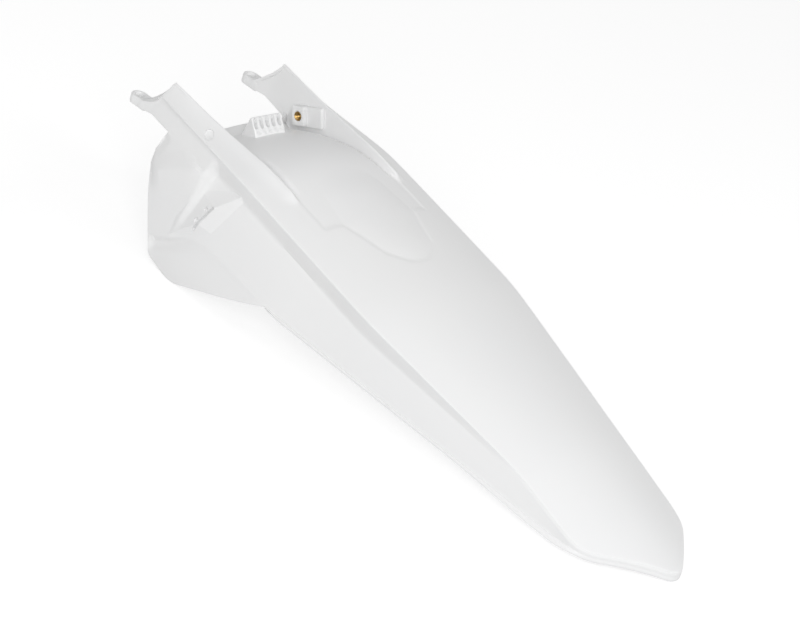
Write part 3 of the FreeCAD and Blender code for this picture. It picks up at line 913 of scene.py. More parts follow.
    def step(self, x: Array) -> tuple:
        """Half-width and level of the foot of the undercut step, which fades out towards the tail.

        Args:
            x: Stations along the length.

        Returns:
            Two arrays, one value for each station.
        """
        half, level = self.crease(x)
        start = self.ledge(x)
        knots = ((0.0, 0.0), (self.hip_x, 0.0), (self.waist_x, 1.0), (self.corner_x, 1.0))
        fade = blended(x, knots, self.fade_blend)
        inset = self.arm_inset + (self.step_inset - self.arm_inset) * start
        drop = self.arm_side + (self.step_drop - self.arm_side) * start
        return half - inset + (inset + self.fade_out) * fade, level - drop + (drop - self.fade_drop) * fade

    def fold(self, x: Array) -> tuple:
        """Half-width and level of the fold at the foot of the skirt.

        Args:
            x: Stations along the length.

        Returns:
            Two arrays, one value for each station.
        """
        rear = (self.skirt_x, self.corner_x, self.apex_x)
        half = self.along(x, (0.0, self.wing_low_x, self.wing.heel_x, *rear), self.fold_halves)
        level = self.along(x, (self.fold_front_x, self.fold_knee_x, *rear), self.fold_levels)
        return half, level

    def flank(self, x: Array, z: Array) -> Array:
        """Half-width of the outer face below the step: two slopes that meet softly at the fold.

        The wing's own forms are added to them.

        Args:
            x: Stations along the length.
            z: Levels.

        Returns:
            The half-width at each point.
        """
        top, high = self.step(x)
        foot, low = self.fold(x)
        slope = (foot - top) / (high - low)
        lower = self.under_slope + self.under_gain * ease((x - self.wing.heel_x) / self.under_run)
        past = low - z
        lead, run = self.wing_end
        soft = (past + np.hypot(past, self.fold_round)) / 2.0 * ease((self.skirt_x - lead - x) / run)
        below = np.maximum(high - z, 0.0)
        face = top + slope * below + (lower - slope) * soft
        face = face - self.wing.nook(x, z, past) + self.wing.line(x, past)
        swell = self.wing.swell(x, z) * ease(below / self.swell_soft)
        return face + swell - self.wing.turn(x, z) * ease(below / self.turn_soft)


@dataclass(frozen=True)
class Skin:
    """Thin wall of the moulding, built from patches that share their borders."""

    guides: GuideLines = GuideLines()
    wall: float = 3.0
    weld: float = 0.12
    rim_edge: float = 0.7
    rim_angle_deg: float = 60.0
    rim_segments: int = 2
    runs: tuple = ((0.0, 27.0, 8), (27.0, 40.0, 9), (40.0, 100.0, 31), (100.0, 282.0, 82), (282.0, 508.0, 30))
    panel_cols: int = 41
    flank_rows: int = 36
    tail_rows: int = 30
    nose_rows: int = 9
    margin: float = 7.0
    side_strip: float = 6.0
    side_share: float = 0.4
    heel_share: float = 0.36
    heel_sink: float = 0.06
    seam_share: float = 0.15
    seam_depth: float = 2.0
    profile_radii: tuple = (0, 5.0, 2.4, 4.0, 0, 1.7, 0, 0)
    profile_runs: tuple = (4, 4, 4, 5, 3, 3, 5)
    side_corner: int = 4
    wall_col: int = 6
    wing_start: float = 27.0
    wing_corners: tuple = (
        (20.5, -66.0, 11.0),
        (78.0, -137.0, 6.0),
        (115.0, -137.0, 14.0),
        (184.0, -93.0, 22.0),
        (219.0, -69.0, 0),
    )
    outline_x: tuple = (20.5, 78.0, 117.0, 184.0, 219.0)
    step_x: tuple = (27.0, 70.0, 124.0, 190.0, 219.0)
    wing_lag: tuple = (0.06, 0.1)
    corner_reach: float = 9.0
    corner_half: float = 42.0
    lip_start: float = 0.3
    lip_grow: float = 20.0
    lip_tail: tuple = (430.0, 120.0)
    skirt_reach: tuple = (0.0, 0.7, 1.3, 1.6, 1.7, 1.6)
    skirt_drop: tuple = (0.0, 0.1, 0.3, 0.7, 1.3, 2.9)
    tail_reach: tuple = (0.0, 1.2, 2.4, 3.3, 3.9, 4.1)
    tail_drop: tuple = (0.0, 0.6, 1.2, 1.8, 2.7, 4.0)
    tail_corner: tuple = (591.0, 67.6)
    tail_rounds: tuple = (20.0, 14.0)
    tail_points: int = 15
    rim_lead: float = 26.0
    rim_run: float = 34.0
    rim_foot: tuple = (0.9, 2.2)
    rim_fold: tuple = (1.2, 4.6)
    rim_slim: float = 0.82
    nose_x: float = -20.0
    nose_halves: tuple = (63.8, 79.0)
    nose_levels: tuple = (-46.2, -38.2)
    nose_round: float = 1.2
    nose_runs: tuple = (6, 15, 7)
    nose_crowd: float = 1.4
    nose_step: float = 0.85
    nose_inner: float = 0.12
    access: tuple = (66.6, 80.6, -3.7)
    access_size: tuple = (7.0, 4.3, 2.3)
    access_long: tuple = (-0.804, -0.514, 0.30)
    access_out: tuple = (0.0, 0.505, 0.863)
    access_points: int = 48

    def stations(self) -> Array:
        """Stations from the arm tips to the waist, closer where the seat floor ends."""
        return np.unique(np.concatenate([np.linspace(*run) for run in self.runs]).round(6))

    def upper_profile(self, x: Array) -> Array:
        """Half-profile from the bed's border over fin and crease to the foot of the step.

        Args:
            x: Stations along the length.

        Returns:
            Array of shape (stations, points, 3).
        """
        g = self.guides
        crease, crease_z = g.crease(x)
        shoulder, ridge = g.shoulder(x)
        foot, foot_z = g.step(x)
        edge = g.fin_foot(x)
        inner = edge - self.margin
        width = crease - shoulder
        heel = shoulder + self.heel_share * width
        side = crease - width * np.minimum(self.side_strip / width, self.side_share)
        seam = crease + self.seam_share * (foot - crease) - self.seam_depth * (1.0 - g.ledge(x))
        line = (
            (inner, g.bed(x, inner)),
            (edge, g.bed(x, edge)),
            (shoulder, ridge),
            (heel, self.band(x, heel) - self.heel_sink * g.bead(x)),
            (side, self.band(x, side)),
            (crease, crease_z),
            (seam, crease_z + self.seam_share * (foot_z - crease_z)),
            (foot, foot_z),
        )
        corners = [np.stack((x, half, level), axis=-1) for half, level in line]
        return filleted(corners, self.profile_radii, self.profile_runs)

    def band(self, x: Array, y: Array) -> Array:
        """Level of the band between ridge and crease: the panel plus the share of the fin that is left.

        Args:
            x: Stations along the length.
            y: Half-widths.

        Returns:
            The level at each point.
        """
        g = self.guides
        crease = g.crease(x)[0]
        shoulder, ridge = g.shoulder(x)
        extra = ridge - g.bead(x) - g.panel(x, shoulder)
        return g.panel(x, y) + extra * (crease - y) / (crease - shoulder)

    def wing_path(self) -> tuple:
        """Lower outline of the wing in side view, and the station on the step above each of its points.

        Returns:
            Array of shape (points, 2), and the stations, which only rise.
        """
        top = float(self.guides.step(np.array(self.wing_start))[1])
        outline = rounded_path(((self.wing_start, top, 0), *self.wing_corners))
        share = lengths_along(outline)
        share /= share[-1]
        above = np.maximum.accumulate(np.interp(outline[:, 0], self.outline_x, self.step_x))
        lag = np.interp(share, self.wing_lag, (0.0, 1.0))
        above = self.wing_start + (above - self.wing_start) * lag
        least_rise = 1e-4
        return outline, np.maximum.accumulate(above + np.arange(len(above)) * least_rise)

    def flank_patch(self, x: Array) -> Array:
        """Wing and skirt: straight lines in side view from the step to the lower outline, laid on the flank.

        Args:
            x: Stations along the step.

        Returns:
            Grid of shape (stations, rows, 3).
        """
        g = self.guides
        outline, above = self.wing_path()
        skirt = np.stack((x, g.fold(x)[1]), axis=-1)
        wing = np.stack([np.interp(x, above, outline[:, axis]) for axis in (0, 1)], axis=-1)
        low = np.where((x >= g.skirt_x)[:, None], skirt, wing)
        high = np.stack((x, g.step(x)[1]), axis=-1)
        t = np.linspace(0.0, 1.0, self.flank_rows)[None, :, None]
        plane = high[:, None] + (low - high)[:, None] * t
        y = g.flank(plane[..., 0], plane[..., 1])
        return np.stack((plane[..., 0], y, plane[..., 1]), axis=-1)

    def lip_profile(self, fold: Array, out: Array) -> Array:
        """Rolled lip outside the fold: a short flange whose edge turns down, wider towards the tail.

        Args:
            fold: Points of the fold, shape (stations, 3).
            out: Outward directions, shape (stations, 3).

        Returns:
            Array of shape (stations, 6, 3).
        """
        x = fold[:, 0]
        start = self.lip_start + (1.0 - self.lip_start) * ease((x - self.guides.skirt_x) / self.lip_grow)
        tail_x, run = self.lip_tail
        tail = ease((x - tail_x) / run)[:, None]
        reach = (1 - tail) * np.array(self.skirt_reach) + tail * np.array(self.tail_reach)
        drop = (1 - tail) * np.array(self.skirt_drop) + tail * np.array(self.tail_drop)
        moved = out[:, None] * reach[..., None] - np.array((0.0, 0.0, 1.0)) * drop[..., None]
        return fold[:, None] + start[:, None, None] * moved

    def tail_outline(self, share: Array) -> tuple:
        """Crease round the tail in plan, from the waist to the apex, with its outward normals.

        Args:
            share: Shares of the outline's length.

        Returns:
            Two arrays of shape (len(share), 2).
        """
        g = self.guides
        start = float(g.crease(np.array(g.waist_x))[0])
        (x, half), (corner_round, apex_round) = self.tail_corner, self.tail_rounds
        corners = ((g.waist_x, start, 0), (x, half, corner_round), (g.apex_x, 0.0, apex_round), (x, -half, 0))
        path = rounded_path(corners, self.tail_points)
        path = path[path[:, 1] > -TINY]
        here = resampled(path, share)
        near = 0.004
        ahead = resampled(path, np.clip(share + near, 0.0, 1.0))
        behind = resampled(path, np.clip(share - near, 0.0, 1.0))
        way = ahead - behind
        normal = np.stack((-way[:, 1], way[:, 0]), axis=-1)
        normal /= np.linalg.norm(normal, axis=-1, keepdims=True)
        normal[0] = (1.0, 0.0)
        normal[-1] = (0.0, 1.0)
        return here, normal

    def tail_patches(self, border: Array) -> list:
        """Tail panel as straight lines from the waist to the outline, and the wall carried round it.

        Args:
            border: Points of the panel at the waist, from the centre plane outwards.

        Returns:
            The patches of the far half.
        """
        g = self.guides
        plan, normal = self.tail_outline(1.0 - border[:, 1] / border[-1, 1])
        inner = plan - self.side_strip * normal
        inner[-1] = border[-1, :2]
        inner[0, 1] = 0.0
        t = np.linspace(0.0, 1.0, self.tail_rows)[:, None, None]
        flat = border[None, :, :2] * (1 - t) + inner[None] * t
        panel = np.concatenate((flat, g.panel(flat[..., 0], flat[..., 1])[..., None]), axis=-1)

        x = plan[:, 0]
        crease = np.concatenate((plan, g.panel(x, plan[:, 1])[:, None]), axis=-1)
        rim = ease((x - g.corner_x + self.rim_lead) / self.rim_run)[:, None]
        half, level = g.crease(x)
        out = np.concatenate((normal, np.zeros((len(x), 1))), axis=-1)
        down = np.array((0.0, 0.0, -1.0))

        def corner(line: tuple, edge: tuple) -> Array:
            """A corner of the wall: from the guide line on the flank to the rim at the trailing edge.

            Args:
                line: Half-width and level of the guide line.
                edge: Distances of the rim outwards and down from the crease.

            Returns:
                Array of shape (stations, 3).
            """
            flank = out * (line[0] - half)[:, None] + down * (level - line[1])[:, None]
            return crease + flank * (1 - rim) + (out * edge[0] + down * edge[1]) * rim

        foot = corner(g.step(x), self.rim_foot)
        fold = corner(g.fold(x), self.rim_fold)
        side = np.concatenate((inner, panel[-1, :, 2:]), axis=-1)
        seam = crease + self.seam_share * (foot - crease)
        radii, runs = self.profile_radii[self.side_corner :], self.profile_runs[self.side_corner :]
        upper = filleted([side, crease, seam, foot], radii, runs)
        t = np.linspace(0.0, 1.0, self.flank_rows)[None, :, None]
        middle = foot[:, None] + (fold - foot)[:, None] * t
        lip = self.lip_profile(fold, out * (1.0 - self.rim_slim * rim))
        return [Patch.of_grid(part) for part in (panel.transpose(1, 0, 2), upper, middle, lip)]

    def half(self) -> list:
        """Patches of the far half of the skin.

        Returns:
            Patches whose borders are the same points.
        """
        g = self.guides
        x = self.stations()
        profile = self.upper_profile(x)
        arms = int(np.searchsorted(x, g.bed_front_x))
        y = profile[arms:, :1, 1] * np.linspace(0.0, 1.0, self.panel_cols)[None]
        xs = np.broadcast_to(x[arms:, None], y.shape)
        panel = np.stack((xs, y, g.bed(xs, y)), axis=-1)
        wing_row = int(np.searchsorted(x, self.wing_start))
        flank = self.flank_patch(x[wing_row:])
        skirt_row = int(np.searchsorted(x[wing_row:], g.skirt_x))
        fold = flank[skirt_row:, -1]
        lip = self.lip_profile(fold, np.broadcast_to((0.0, 1.0, 0.0), fold.shape))
        side_col = sum(self.profile_runs[: self.side_corner]) + ARC_POINTS * (self.side_corner - 1)
        border = np.concatenate((panel[-1, :-1], profile[-1, :side_col]))
        nose = self.nose(profile[0, self.wall_col :])
        corner = self.bed_corner(x[: arms + 1], profile[: arms + 1], panel[0])
        grids = (panel, profile[arms:], profile[: arms + 1, self.wall_col :], flank, lip, nose, corner)
        return [Patch.of_grid(grid) for grid in grids] + self.tail_patches(border)

    def nose(self, rim: Array) -> Array:
        """Walls of an arm drawn down to its eyelet: lines from the arm's profile to a small section.

        Along these lines the distance forward grows evenly and the rest as a power of it. The power is
        lowest at the top of the outer side, so that the arm ends in a step there.

        Args:
            rim: Profile of the arm at its front end.

        Returns:
            Grid of shape (rows, points, 3).
        """
        (inner, outer), (low, top) = self.nose_halves, self.nose_levels
        section = ((inner, low), (inner, top), (outer, top), (outer, low))
        corners = [np.array([[self.nose_x, y, z]]) for y, z in section]
        tip = filleted(corners, (0, self.nose_round, self.nose_round, 0), self.nose_runs)[0]
        t = np.linspace(0.0, 1.0, self.nose_rows)[:, None, None] ** self.nose_crowd
        level, half = rim[:, 2:], rim[:, 1:2]
        lifted = (level - level.min()) / (level.max() - level.min())
        outward = (half - half.min()) / (half.max() - half.min())
        stepped = self.nose_inner + (1.0 - self.nose_inner) * outward
        share = t ** (1.0 - self.nose_step * lifted * stepped)
        grid = rim * (1 - share) + tip * share
        grid[..., :1] = rim[:, :1] * (1 - t) + tip[:, :1] * t
        return grid[::-1]

    def bed_corner(self, x: Array, profile: Array, front: Array) -> Array:
        """Rounded corner in plan between the bed's front edge and the arm's inner wall.

        Args:
            x: Stations of the arm, the bed's front edge last.
            profile: Upper half-profile at these stations.
            front: Points of the bed's front edge, from the centre plane outwards.

        Returns:
            Grid whose last row is the bed's front edge and whose last column is the foot of the arm's wall.
        """
        edge = x[-1]
        keep = x >= edge - self.corner_reach
        bed = front[front[:, 1] >= self.corner_half]
        row = np.concatenate((bed, profile[-1, 1 : self.wall_col + 1]))
        wall = profile[keep, self.wall_col]
        share = (row[:, 1] - row[0, 1]) / (row[-1, 1] - row[0, 1])
        start = row[0, 1] + (wall[:, 1] - row[0, 1]) * np.sqrt((edge - x[keep]) / self.corner_reach)
        y = start[:, None] + share * (wall[:, 1] - start)[:, None]
        z = row[None, :, 2] + share * (wall[:, 2] - wall[-1, 2])[:, None]
        return np.stack((np.broadcast_to(x[keep, None], y.shape), y, z), axis=-1)

    def access_cutter(self, material: bpy.types.Material) -> bpy.types.Object:
        """Oval plugs that sink the recesses in the outer faces of the arms.

        Args:
            material: Finish of the recesses.

        Returns:
            A closed object with one plug on each arm.
        """
        long, wide, deep = self.access_size
        floor_scale, chamfer, above, pole = 0.86, 0.5, 4.0, 0.002
        out = np.array(self.access_out)
        lead = np.array(self.access_long)
        angle = full_turn(self.access_points)[None, :, None]
        scale = np.array((pole, floor_scale, 1.0, 1.0, pole))[:, None, None]
        level = np.array((-deep, -deep, chamfer - deep, above, above))[:, None, None]
        ring = long * np.cos(angle) * lead + wide * np.sin(angle) * np.cross(out, lead)
        plug = Patch.of_grid(np.array(self.access) + scale * ring + level * out, around=True)
        return add_piece("access_cutter", joined([plug, plug.mirrored()]), material)

    def build(self, material: bpy.types.Material) -> bpy.types.Object:
        """Make the skin, give it its wall, sink the recesses and round the rims.

        Args:
            material: Finish of the moulding.

        Returns:
            The new object.
        """
        far = self.half()
        whole = joined(far + [patch.mirrored() for patch in far])
        piece = add_piece("moulded_skin", whole, material, self.weld)
        face_out(piece.data)
        wall = piece.modifiers.new("wall", "SOLIDIFY")
        wall.thickness = self.wall / MM_PER_M
        wall.offset = -1.0
        wall.use_even_offset = False
        wall.use_quality_normals = True
        cutter = self.access_cutter(material)
        opening = piece.modifiers.new("access", "BOOLEAN")
        opening.operation = "DIFFERENCE"
        opening.solver = "FAST"
        opening.object = cutter
        edge = piece.modifiers.new("rim", "BEVEL")
        edge.width = self.rim_edge / MM_PER_M
        edge.segments = self.rim_segments
        edge.limit_method = "ANGLE"
        edge.angle_limit = math.radians(self.rim_angle_deg)
        settle(piece)
        bpy.data.objects.remove(cutter, do_unlink=True)
        return piece


@dataclass(frozen=True)
class Eyelet:
    """Flat eyelet in front of an arm, level when the part rests."""

    reach: float = 28.8
    half: float = 71.4
    drop: float = 40.0
    radius: float = 7.7
    hole: float = 4.25
    thickness: float = 9.0
    root: float = 16.0
    root_half: float = 7.0
    soft: float = 1.1
    points: int = 144

    def patch(self, side: Side) -> Patch:
        """Tab whose outline is a circle away from the arm and a tapering strip towards it.

        Args:
            side: Flank of the eyelet.

        Returns:
            A closed patch.
        """
        angle = full_turn(self.points)
        c, s = np.cos(angle), np.abs(np.sin(angle))
        taper = (self.radius - self.root_half) / self.root
        strip = self.radius / np.maximum(s + taper * c, TINY)
        end = self.root / np.maximum(c, TINY)
        outer = np.where(c > 0, np.minimum(strip, end), self.radius)
        local = ring_grid(outer, angle, self.hole, self.thickness, self.soft)
        centre = np.array((-self.reach, side.value * self.half, -self.drop))
        return Patch.of_grid(STANCE.level(local) + centre, around=True, along=True).flipped()


@dataclass(frozen=True)
class ArmBoss:
    """Square boss on the inner face of an arm, straight on the sloping bed, with a low pad behind it."""

    x: float = 48.0
    drop: float = 22.0
    face: float = 57.5
    half_length: float = 8.0
    half_height: float = 9.4
    seat: float = 4.25
    depth: float = 10.0
    lean_deg: float = 35.0
    corner_power: float = 7.0
    soft: float = 1.3
    points: int = 144
    pad: tuple = (27.0, 6.0, 20.0)
    pad_step: float = 4.6
    pad_sink: float = 0.8
    pad_soft: float = 2.2

    def axes(self) -> tuple:
        """Directions along the sloping bed and straight up from it."""
        t = math.radians(self.lean_deg)
        return np.array((math.cos(t), 0.0, math.sin(t))), np.array((-math.sin(t), 0.0, math.cos(t)))

    def boss(self, side: Side) -> Patch:
        """Block with rounded corners, its outline a power curve round the insert's seat.

        Args:
            side: Flank of the boss.

        Returns:
            A closed patch.
        """
        angle = full_turn(self.points)
        a = np.abs(np.cos(angle)) / self.half_length
        b = np.abs(np.sin(angle)) / self.half_height
        outer = (a ** self.corner_power + b ** self.corner_power) ** (-1.0 / self.corner_power)
        local = ring_grid(outer, angle, self.seat, self.depth, self.soft)
        along, up = self.axes()
        out = np.array((0.0, -float(side.value), 0.0))
        centre = np.array((self.x, side.value * self.face, -self.drop))
        grid = centre + local[..., :1] * along + local[..., 1:2] * up + local[..., 2:] * out
        patch = Patch.of_grid(grid, around=True, along=True)
        return patch if side is Side.NEAR else patch.flipped()

    def pad_patch(self, side: Side) -> Patch:
        """Soft-edged pad behind the boss, laid along the bed.

        Args:
            side: Flank of the pad.

        Returns:
            A closed patch.
        """
        length, depth, height = self.pad
        along, up = self.axes()
        middle = np.array((self.x, side.value * (self.face + self.pad_step + depth / 2), -self.drop))
        box = soft_box(np.array((length, depth, height)), self.pad_soft)
        a, b, c = (box.points[:, axis : axis + 1] for axis in range(3))
        points = middle + (a + length / 2) * along + (c - self.pad_sink) * up + b * np.array((0.0, 1.0, 0.0))
        return Patch(points, box.faces)

    def patch(self, side: Side) -> Patch:
        """Boss and pad of one arm."""
        return joined([self.boss(side), self.pad_patch(side)])


@dataclass(frozen=True)
class RibbedBlock:
    """Ribbed block across the front of the bed: upright in front, sloping to the rear, with rows of slots."""

    x: float = 55.0
    rear_x: float = 71.0
    half: float = 18.8
    top: float = -3.6
    rear: float = -14.4
    foot: float = -30.0
    brow: tuple = (1.8, 0.2)
    brow_round: float = 0.8
    rear_round: float = 1.5
    rear_lean: float = 3.0
    slope_lead: float = 1.0
    round_points: int = 5
    points: int = 140
    cols: int = 181
    end_rows: int = 4
    end_soft: float = 0.9
    slot_pitch: float = 7.4
    slots_aside: int = 2
    slot_half: float = 1.9
    slot_bend: tuple = (1.1, 15.0, 0.42)
    slot: tuple = (6.0, 0.36, 0.24, 0.2)
    notch: tuple = (2.6, 0.80, 0.085, 0.3)
    hollow_edge: float = 1.15
    hollow_power: float = 4.0

    def sunk(self, across: Array, run: Array, hollow: tuple) -> Array:
        """Depth of a row of hollows, which ends softly along a power curve round each hollow's middle.

        Args:
            across: Distances from the hollow's middle line, in half-widths.
            run: Shares of the way down the slope.
            hollow: Depth, middle and half-length on the slope, and softness of the edge.

        Returns:
            The depth at each point.
        """
        depth, middle, half, soft = hollow
        power = self.hollow_power
        curve = (across ** power + (np.abs(run - middle) / half) ** power) ** (1.0 / power)
        return depth * ease((self.hollow_edge - curve) / soft)

    def patch(self) -> Patch:
        """Section carried across the bed, its slope sunk at each slot and notch.

        The slots bend sideways with the square of the distance from their middle.

        Returns:
            A closed patch.
        """
        ahead, below = self.brow
        corners = (
            (self.x, self.foot, 0),
            (self.x, self.top, self.brow_round),
            (self.x + ahead, self.top - below, self.brow_round),
            (self.rear_x, self.rear, self.rear_round),
            (self.rear_x + self.rear_lean, self.foot, 0),
        )
        loop = resampled(rounded_path(corners, self.round_points), np.linspace(0.0, 1.0, self.points))
        y = np.linspace(-self.half, self.half, self.cols)
        x = np.broadcast_to(loop[:, 0], (self.cols, self.points))
        rim = ease(1.0 - (self.half - np.abs(y)) / self.end_soft) ** 2
        z = loop[:, 1] - self.end_soft * rim[:, None]
        run = (x - self.x) / (self.rear_x - self.x)
        shift, bend, middle = self.slot_bend
        shifted = y[:, None] + shift - bend * (run - middle) ** 2
        row = np.clip(np.round(shifted / self.slot_pitch), -self.slots_aside, self.slots_aside)
        across = np.abs(shifted - self.slot_pitch * row) / self.slot_half
        on_slope = (x > self.x + self.slope_lead) & (x < self.rear_x)
        z = z - (self.sunk(across, run, self.slot) + self.sunk(across, run, self.notch)) * on_slope
        grid = np.stack((x, np.broadcast_to(y[:, None], x.shape), z), axis=-1)
        under = grid.copy()
        under[..., 2] = self.foot
        ends = [self.end(grid[0]), self.end(grid[-1]).flipped()]
        return joined([Patch.of_grid(grid), Patch.of_grid(under).flipped()] + ends)

    def end(self, rim: Array) -> Patch:
        """End face: straight lines from the section down to its foot.

        Args:
            rim: Points of the section at that end.

        Returns:
            A patch that faces the near flank.
        """
        floor = rim.copy()
        floor[:, 2] = self.foot
        t = np.linspace(0.0, 1.0, self.end_rows)[:, None, None]
        return Patch.of_grid(rim[None] * (1 - t) + floor[None] * t)


@dataclass(frozen=True)
class WingClip:
    """Clip boss on the outer face of a wing: a raised face with ramps, a slot and two hook marks."""

    guides: GuideLines = GuideLines()
    x: float = 103.0
    drop: float = 64.0
    angle_deg: float = 77.9
    rise: float = 6.4
    bury: float = 0.35
    back: float = 0.6
    span: tuple = ((-47.0, 52.0, 190), (-17.5, 27.0, 120))
    front: tuple = (-15.5, 25.3)
    rear: tuple = (25.0, 15.2)
    top: tuple = (46.9, 9.8, 1.338, 24.8)
    low_corner: tuple = (-44.3, -7.6)
    low_ramp: tuple = (7.4, 19.8, 540.0)
    low_edge: tuple = (1.45, 18.0)
    middle: float = 5.0
    slot: tuple = (3.6, 9.0, 1.5, 0.6, 17.0, 1.2)
    hooks: tuple = (2.2, 4.6, 1.9, 0.8, 2.4, 7.5)
    lowest: float = -0.4

    def ramps(self, u: Array, v: Array) -> Array:
        """Share of the height: the least of the five sloping sides.

        Args:
            u: Distances along the boss.
            v: Distances across it, to the rear.

        Returns:
            Shares between 0 and 1.
        """
        front, front_run = self.front
        rear, rear_run = self.rear
        top, top_v, lean, top_run = self.top
        past_u, past_v = u - self.low_corner[0], v - self.low_corner[1]
        share_u, share_v, ramp_run = self.low_ramp
        slant, edge_run = self.low_edge
        sides = (
            (v - front) / front_run,
            (rear - v) / rear_run,
            (top - u + lean * (v - top_v)) / top_run,
            (past_u * share_u + past_v * share_v) / ramp_run,
            (past_u - slant * past_v) / edge_run,
        )
        return np.clip(np.stack(sides).min(axis=0), 0.0, 1.0)

    def height(self, u: Array, v: Array) -> Array:
        """Height over the wing: the ramped face, cut by the slot and the hook marks.

        Args:
            u: Distances along the boss.
            v: Distances across it, to the rear.

        Returns:
            The height at each point.
        """
        along = np.abs(u - self.middle)
        depth, place, half, soft, half_long, end = self.slot
        slot = depth * ease((half - np.abs(v - place)) / soft) * ease((half_long - along) / end)
        depth, place, half, soft, half_long, apart = self.hooks
        in_length = ease((half_long - np.abs(along - apart)) / soft)
        hooks = depth * ease((half - np.abs(v - place)) / soft) * in_length
        return np.maximum(self.rise * self.ramps(u, v) - slot - hooks, self.lowest)

    def patch(self, side: Side) -> Patch:
        """Height over the wing as a function of the place on the boss, closed by a buried back.

        Args:
            side: Flank of the clip.

        Returns:
            A closed patch.
        """
        u, v = np.meshgrid(*(np.linspace(*span) for span in self.span), indexing="ij")
        t = math.radians(self.angle_deg)
        x = self.x + u * math.cos(t) + v * math.sin(t)
        z = -self.drop + u * math.sin(t) - v * math.cos(t)
        inside = np.zeros_like(u)
        inside[1:-1, 1:-1] = 1.0
        sunk = self.guides.flank(x, z) - self.bury
        face = np.stack((x, (sunk + self.height(u, v) * inside) * side.value, z), axis=-1)
        back = np.stack((x, (sunk - self.back * inside) * side.value, z), axis=-1)
        patch = joined([Patch.of_grid(face), Patch.of_grid(back).flipped()])
        return patch.flipped() if side is Side.FAR else patch


@dataclass(frozen=True)
class Moulding:
    """The white moulding: its skin and the bosses, eyelets, block and clips on it."""

    skin: Skin = Skin()
    eyelet: Eyelet = Eyelet()
    boss: ArmBoss = ArmBoss()
    clip: WingClip = WingClip()
    block: RibbedBlock = RibbedBlock()

    def build(self, material: bpy.types.Material) -> None:
        """Make every piece of the moulding.

        Args:
            material: Finish of the moulding.
        """
        pieces = [self.skin.build(material)]
        for side in Side:
            for name, shape in (("eyelet", self.eyelet), ("arm_boss", self.boss), ("wing_clip", self.clip)):
                pieces.append(add_piece(f"{name}_{side.name.lower()}", shape.patch(side), material))
        pieces.append(add_piece("ribbed_block", self.block.patch(), material))
        for piece in pieces:
            dress(piece, "mudguard_moulding")


@dataclass(frozen=True)
class ThreadedInsert:
    """Brass sleeve with an inner thread, in the face of an arm's boss."""

    boss: ArmBoss = ArmBoss()
    radius: float = 4.2
    length: float = 12.0
    mouth: tuple = ((3.0, 1.2), (3.72, 0.12), (3.85, 0.05), (4.08, 0.12))
    front_edge: float = 0.4
    rear_edge: float = 0.3
    rear_face: tuple = (4.0, 3.0)
    core: float = 2.5
    thread_depth: float = 0.45
    pitch: float = 1.0
    thread_ends: tuple = (1.4, 11.6)
    thread_rows: int = 150
    points: int = 72

    def patch(self, side: Side) -> Patch:
        """Sleeve as a closed section turned round the axis; the bore's radius follows a helix.

        Args:
            side: Flank of the insert.

        Returns:
            A closed patch.
        """
        angle = full_turn(self.points)
        bore = np.linspace(*self.thread_ends, self.thread_rows)
        wall = ((self.radius, self.front_edge), (self.radius, self.length - self.rear_edge))
        rear = tuple((radius, self.length) for radius in self.rear_face)
        outer = np.array((*self.mouth, *wall, *rear))
        wave = np.abs(((bore[:, None] / self.pitch - angle[None] / (2 * np.pi)) % 1.0) - 0.5) * 2.0
        inner = self.core + self.thread_depth * (1.0 - wave)
        radius = np.concatenate((np.repeat(outer[:, :1], self.points, axis=1), inner[::-1]))
        along = np.repeat(np.concatenate((outer[:, 1:], bore[::-1, None])), self.points, axis=1)
        x = self.boss.x + np.cos(angle)[None] * radius
        y = side.value * (self.boss.face + along)
        z = -self.boss.drop + np.sin(angle)[None] * radius
        patch = Patch.of_grid(np.stack((x, y, z), axis=-1), around=True, along=True)
        return patch.flipped() if side is Side.FAR else patch

    def build(self, material: bpy.types.Material) -> None:
        """Make both inserts as one piece of the given finish."""
        piece = add_piece("brass_inserts", joined([self.patch(side) for side in Side]), material)
        dress(piece, "threaded_inserts")


@dataclass(frozen=True)
class Lamp:
    """Round area lamp that points at the middle of the part, with sizes in metres and power in watts."""

    name: str
    place: tuple
    size: float
    power: float
    aim: tuple = (0.0, 0.0, 0.06)

    def build(self) -> None:
        """Put the lamp into the scene."""
        light = bpy.data.lights.new(self.name, "AREA")
        light.shape = "DISK"
        light.size = self.size
        light.energy = self.power
        lamp = bpy.data.objects.new(self.name, light)
        lamp.location = self.place
        lamp.rotation_euler = (Vector(self.aim) - lamp.location).to_track_quat("-Z", "Y").to_euler()
        bpy.context.scene.collection.objects.link(lamp)


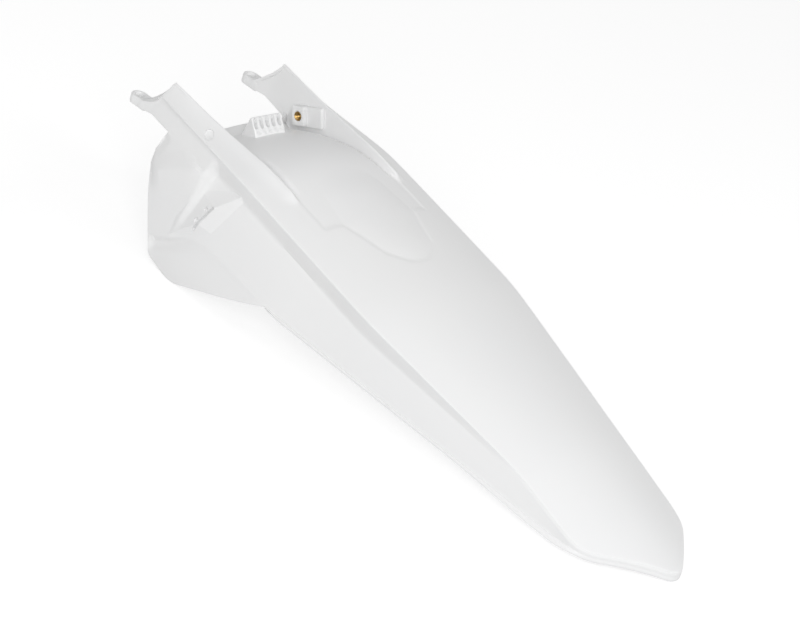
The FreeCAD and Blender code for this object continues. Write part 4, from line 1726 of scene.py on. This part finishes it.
@dataclass(frozen=True)
class Studio:
    """Pale floor, soft light and the camera at the photograph's angle."""

    floor_half: float = 14.0
    floor_level: float = -0.0004
    sky: float = 0.42
    backdrop: float = 1.0
    lamps: tuple = (
        Lamp("key_lamp", (1.25, -1.8, 1.3), 1.4, 34.5),
        Lamp("tail_lamp", (1.9, 1.2, 1.4), 1.0, 16.0),
        Lamp("front_lamp", (-0.7, -1.0, 1.9), 0.6, 2.8),
        Lamp("top_lamp", (0.2, -0.3, 2.4), 2.4, 6.0),
    )
    right: tuple = (0.60128, 0.68316, 0.41443)
    up: tuple = (-0.68066, 0.16625, 0.71349)
    back: tuple = (0.41853, -0.71109, 0.56497)
    shift_mm: tuple = (153.47, -226.29, 3648.04)
    lens: float = 180.0
    sensor: float = 36.0
    sight: float = 50.0

    def build(self) -> None:
        """Make floor, surround, lamps and camera."""
        self.floor()
        self.world()
        for lamp in self.lamps:
            lamp.build()
        self.camera()

    def floor(self) -> None:
        """Wide flat floor just under the part."""
        corners = ((-1, -1), (1, -1), (1, 1), (-1, 1))
        points = [(x * self.floor_half, y * self.floor_half, self.floor_level) for x, y in corners]
        mesh = bpy.data.meshes.new("studio_floor")
        mesh.from_pydata(points, [], [(0, 1, 2, 3)])
        mesh.materials.append(PaleFloor().build())
        plane = bpy.data.objects.new("studio_floor", mesh)
        bpy.context.scene.collection.objects.link(plane)

    def world(self) -> None:
        """Even surround that lights the part, white to the camera, to gloss and through glass."""
        world = bpy.data.worlds.new("surround")
        world.use_nodes = True
        bpy.context.scene.world = world
        nodes, links = world.node_tree.nodes, world.node_tree.links
        nodes.clear()
        out = nodes.new("ShaderNodeOutputWorld")
        even = nodes.new("ShaderNodeBackground")
        even.inputs["Strength"].default_value = self.sky
        white = nodes.new("ShaderNodeBackground")
        white.inputs["Strength"].default_value = self.backdrop
        path = nodes.new("ShaderNodeLightPath")
        seen = path.outputs["Is Camera Ray"]
        for ray in ("Is Glossy Ray", "Is Transmission Ray"):
            either = nodes.new("ShaderNodeMath")
            either.operation = "MAXIMUM"
            links.new(seen, either.inputs[0])
            links.new(path.outputs[ray], either.inputs[1])
            seen = either.outputs[0]
        choice = nodes.new("ShaderNodeMixShader")
        links.new(seen, choice.inputs["Fac"])
        links.new(even.outputs[0], choice.inputs[1])
        links.new(white.outputs[0], choice.inputs[2])
        links.new(choice.outputs[0], out.inputs["Surface"])

    def camera(self) -> None:
        """Camera found by fitting the guide lines to the photograph."""
        data = bpy.data.cameras.new("camera")
        data.lens = self.lens
        data.sensor_width = self.sensor
        data.clip_end = self.sight
        camera = bpy.data.objects.new("camera", data)
        axes = np.array((self.right, self.up, self.back))
        matrix = Matrix(STANCE.turn(axes).T.tolist()).to_4x4()
        matrix.translation = Vector(STANCE.to_row(np.array(self.shift_mm) @ axes).tolist())
        camera.matrix_world = matrix
        bpy.context.scene.collection.objects.link(camera)
        bpy.context.scene.camera = camera


def main() -> None:
    """Build the pieces in order and set the scene."""
    logging.basicConfig(level=logging.INFO, format="%(name)s: %(message)s")
    Moulding().build(WhitePlastic().build())
    ThreadedInsert().build(TurnedBrass().build())
    Studio().build()
    bpy.context.scene.view_settings.view_transform = "Standard"


if __name__ == "__main__":
    main()
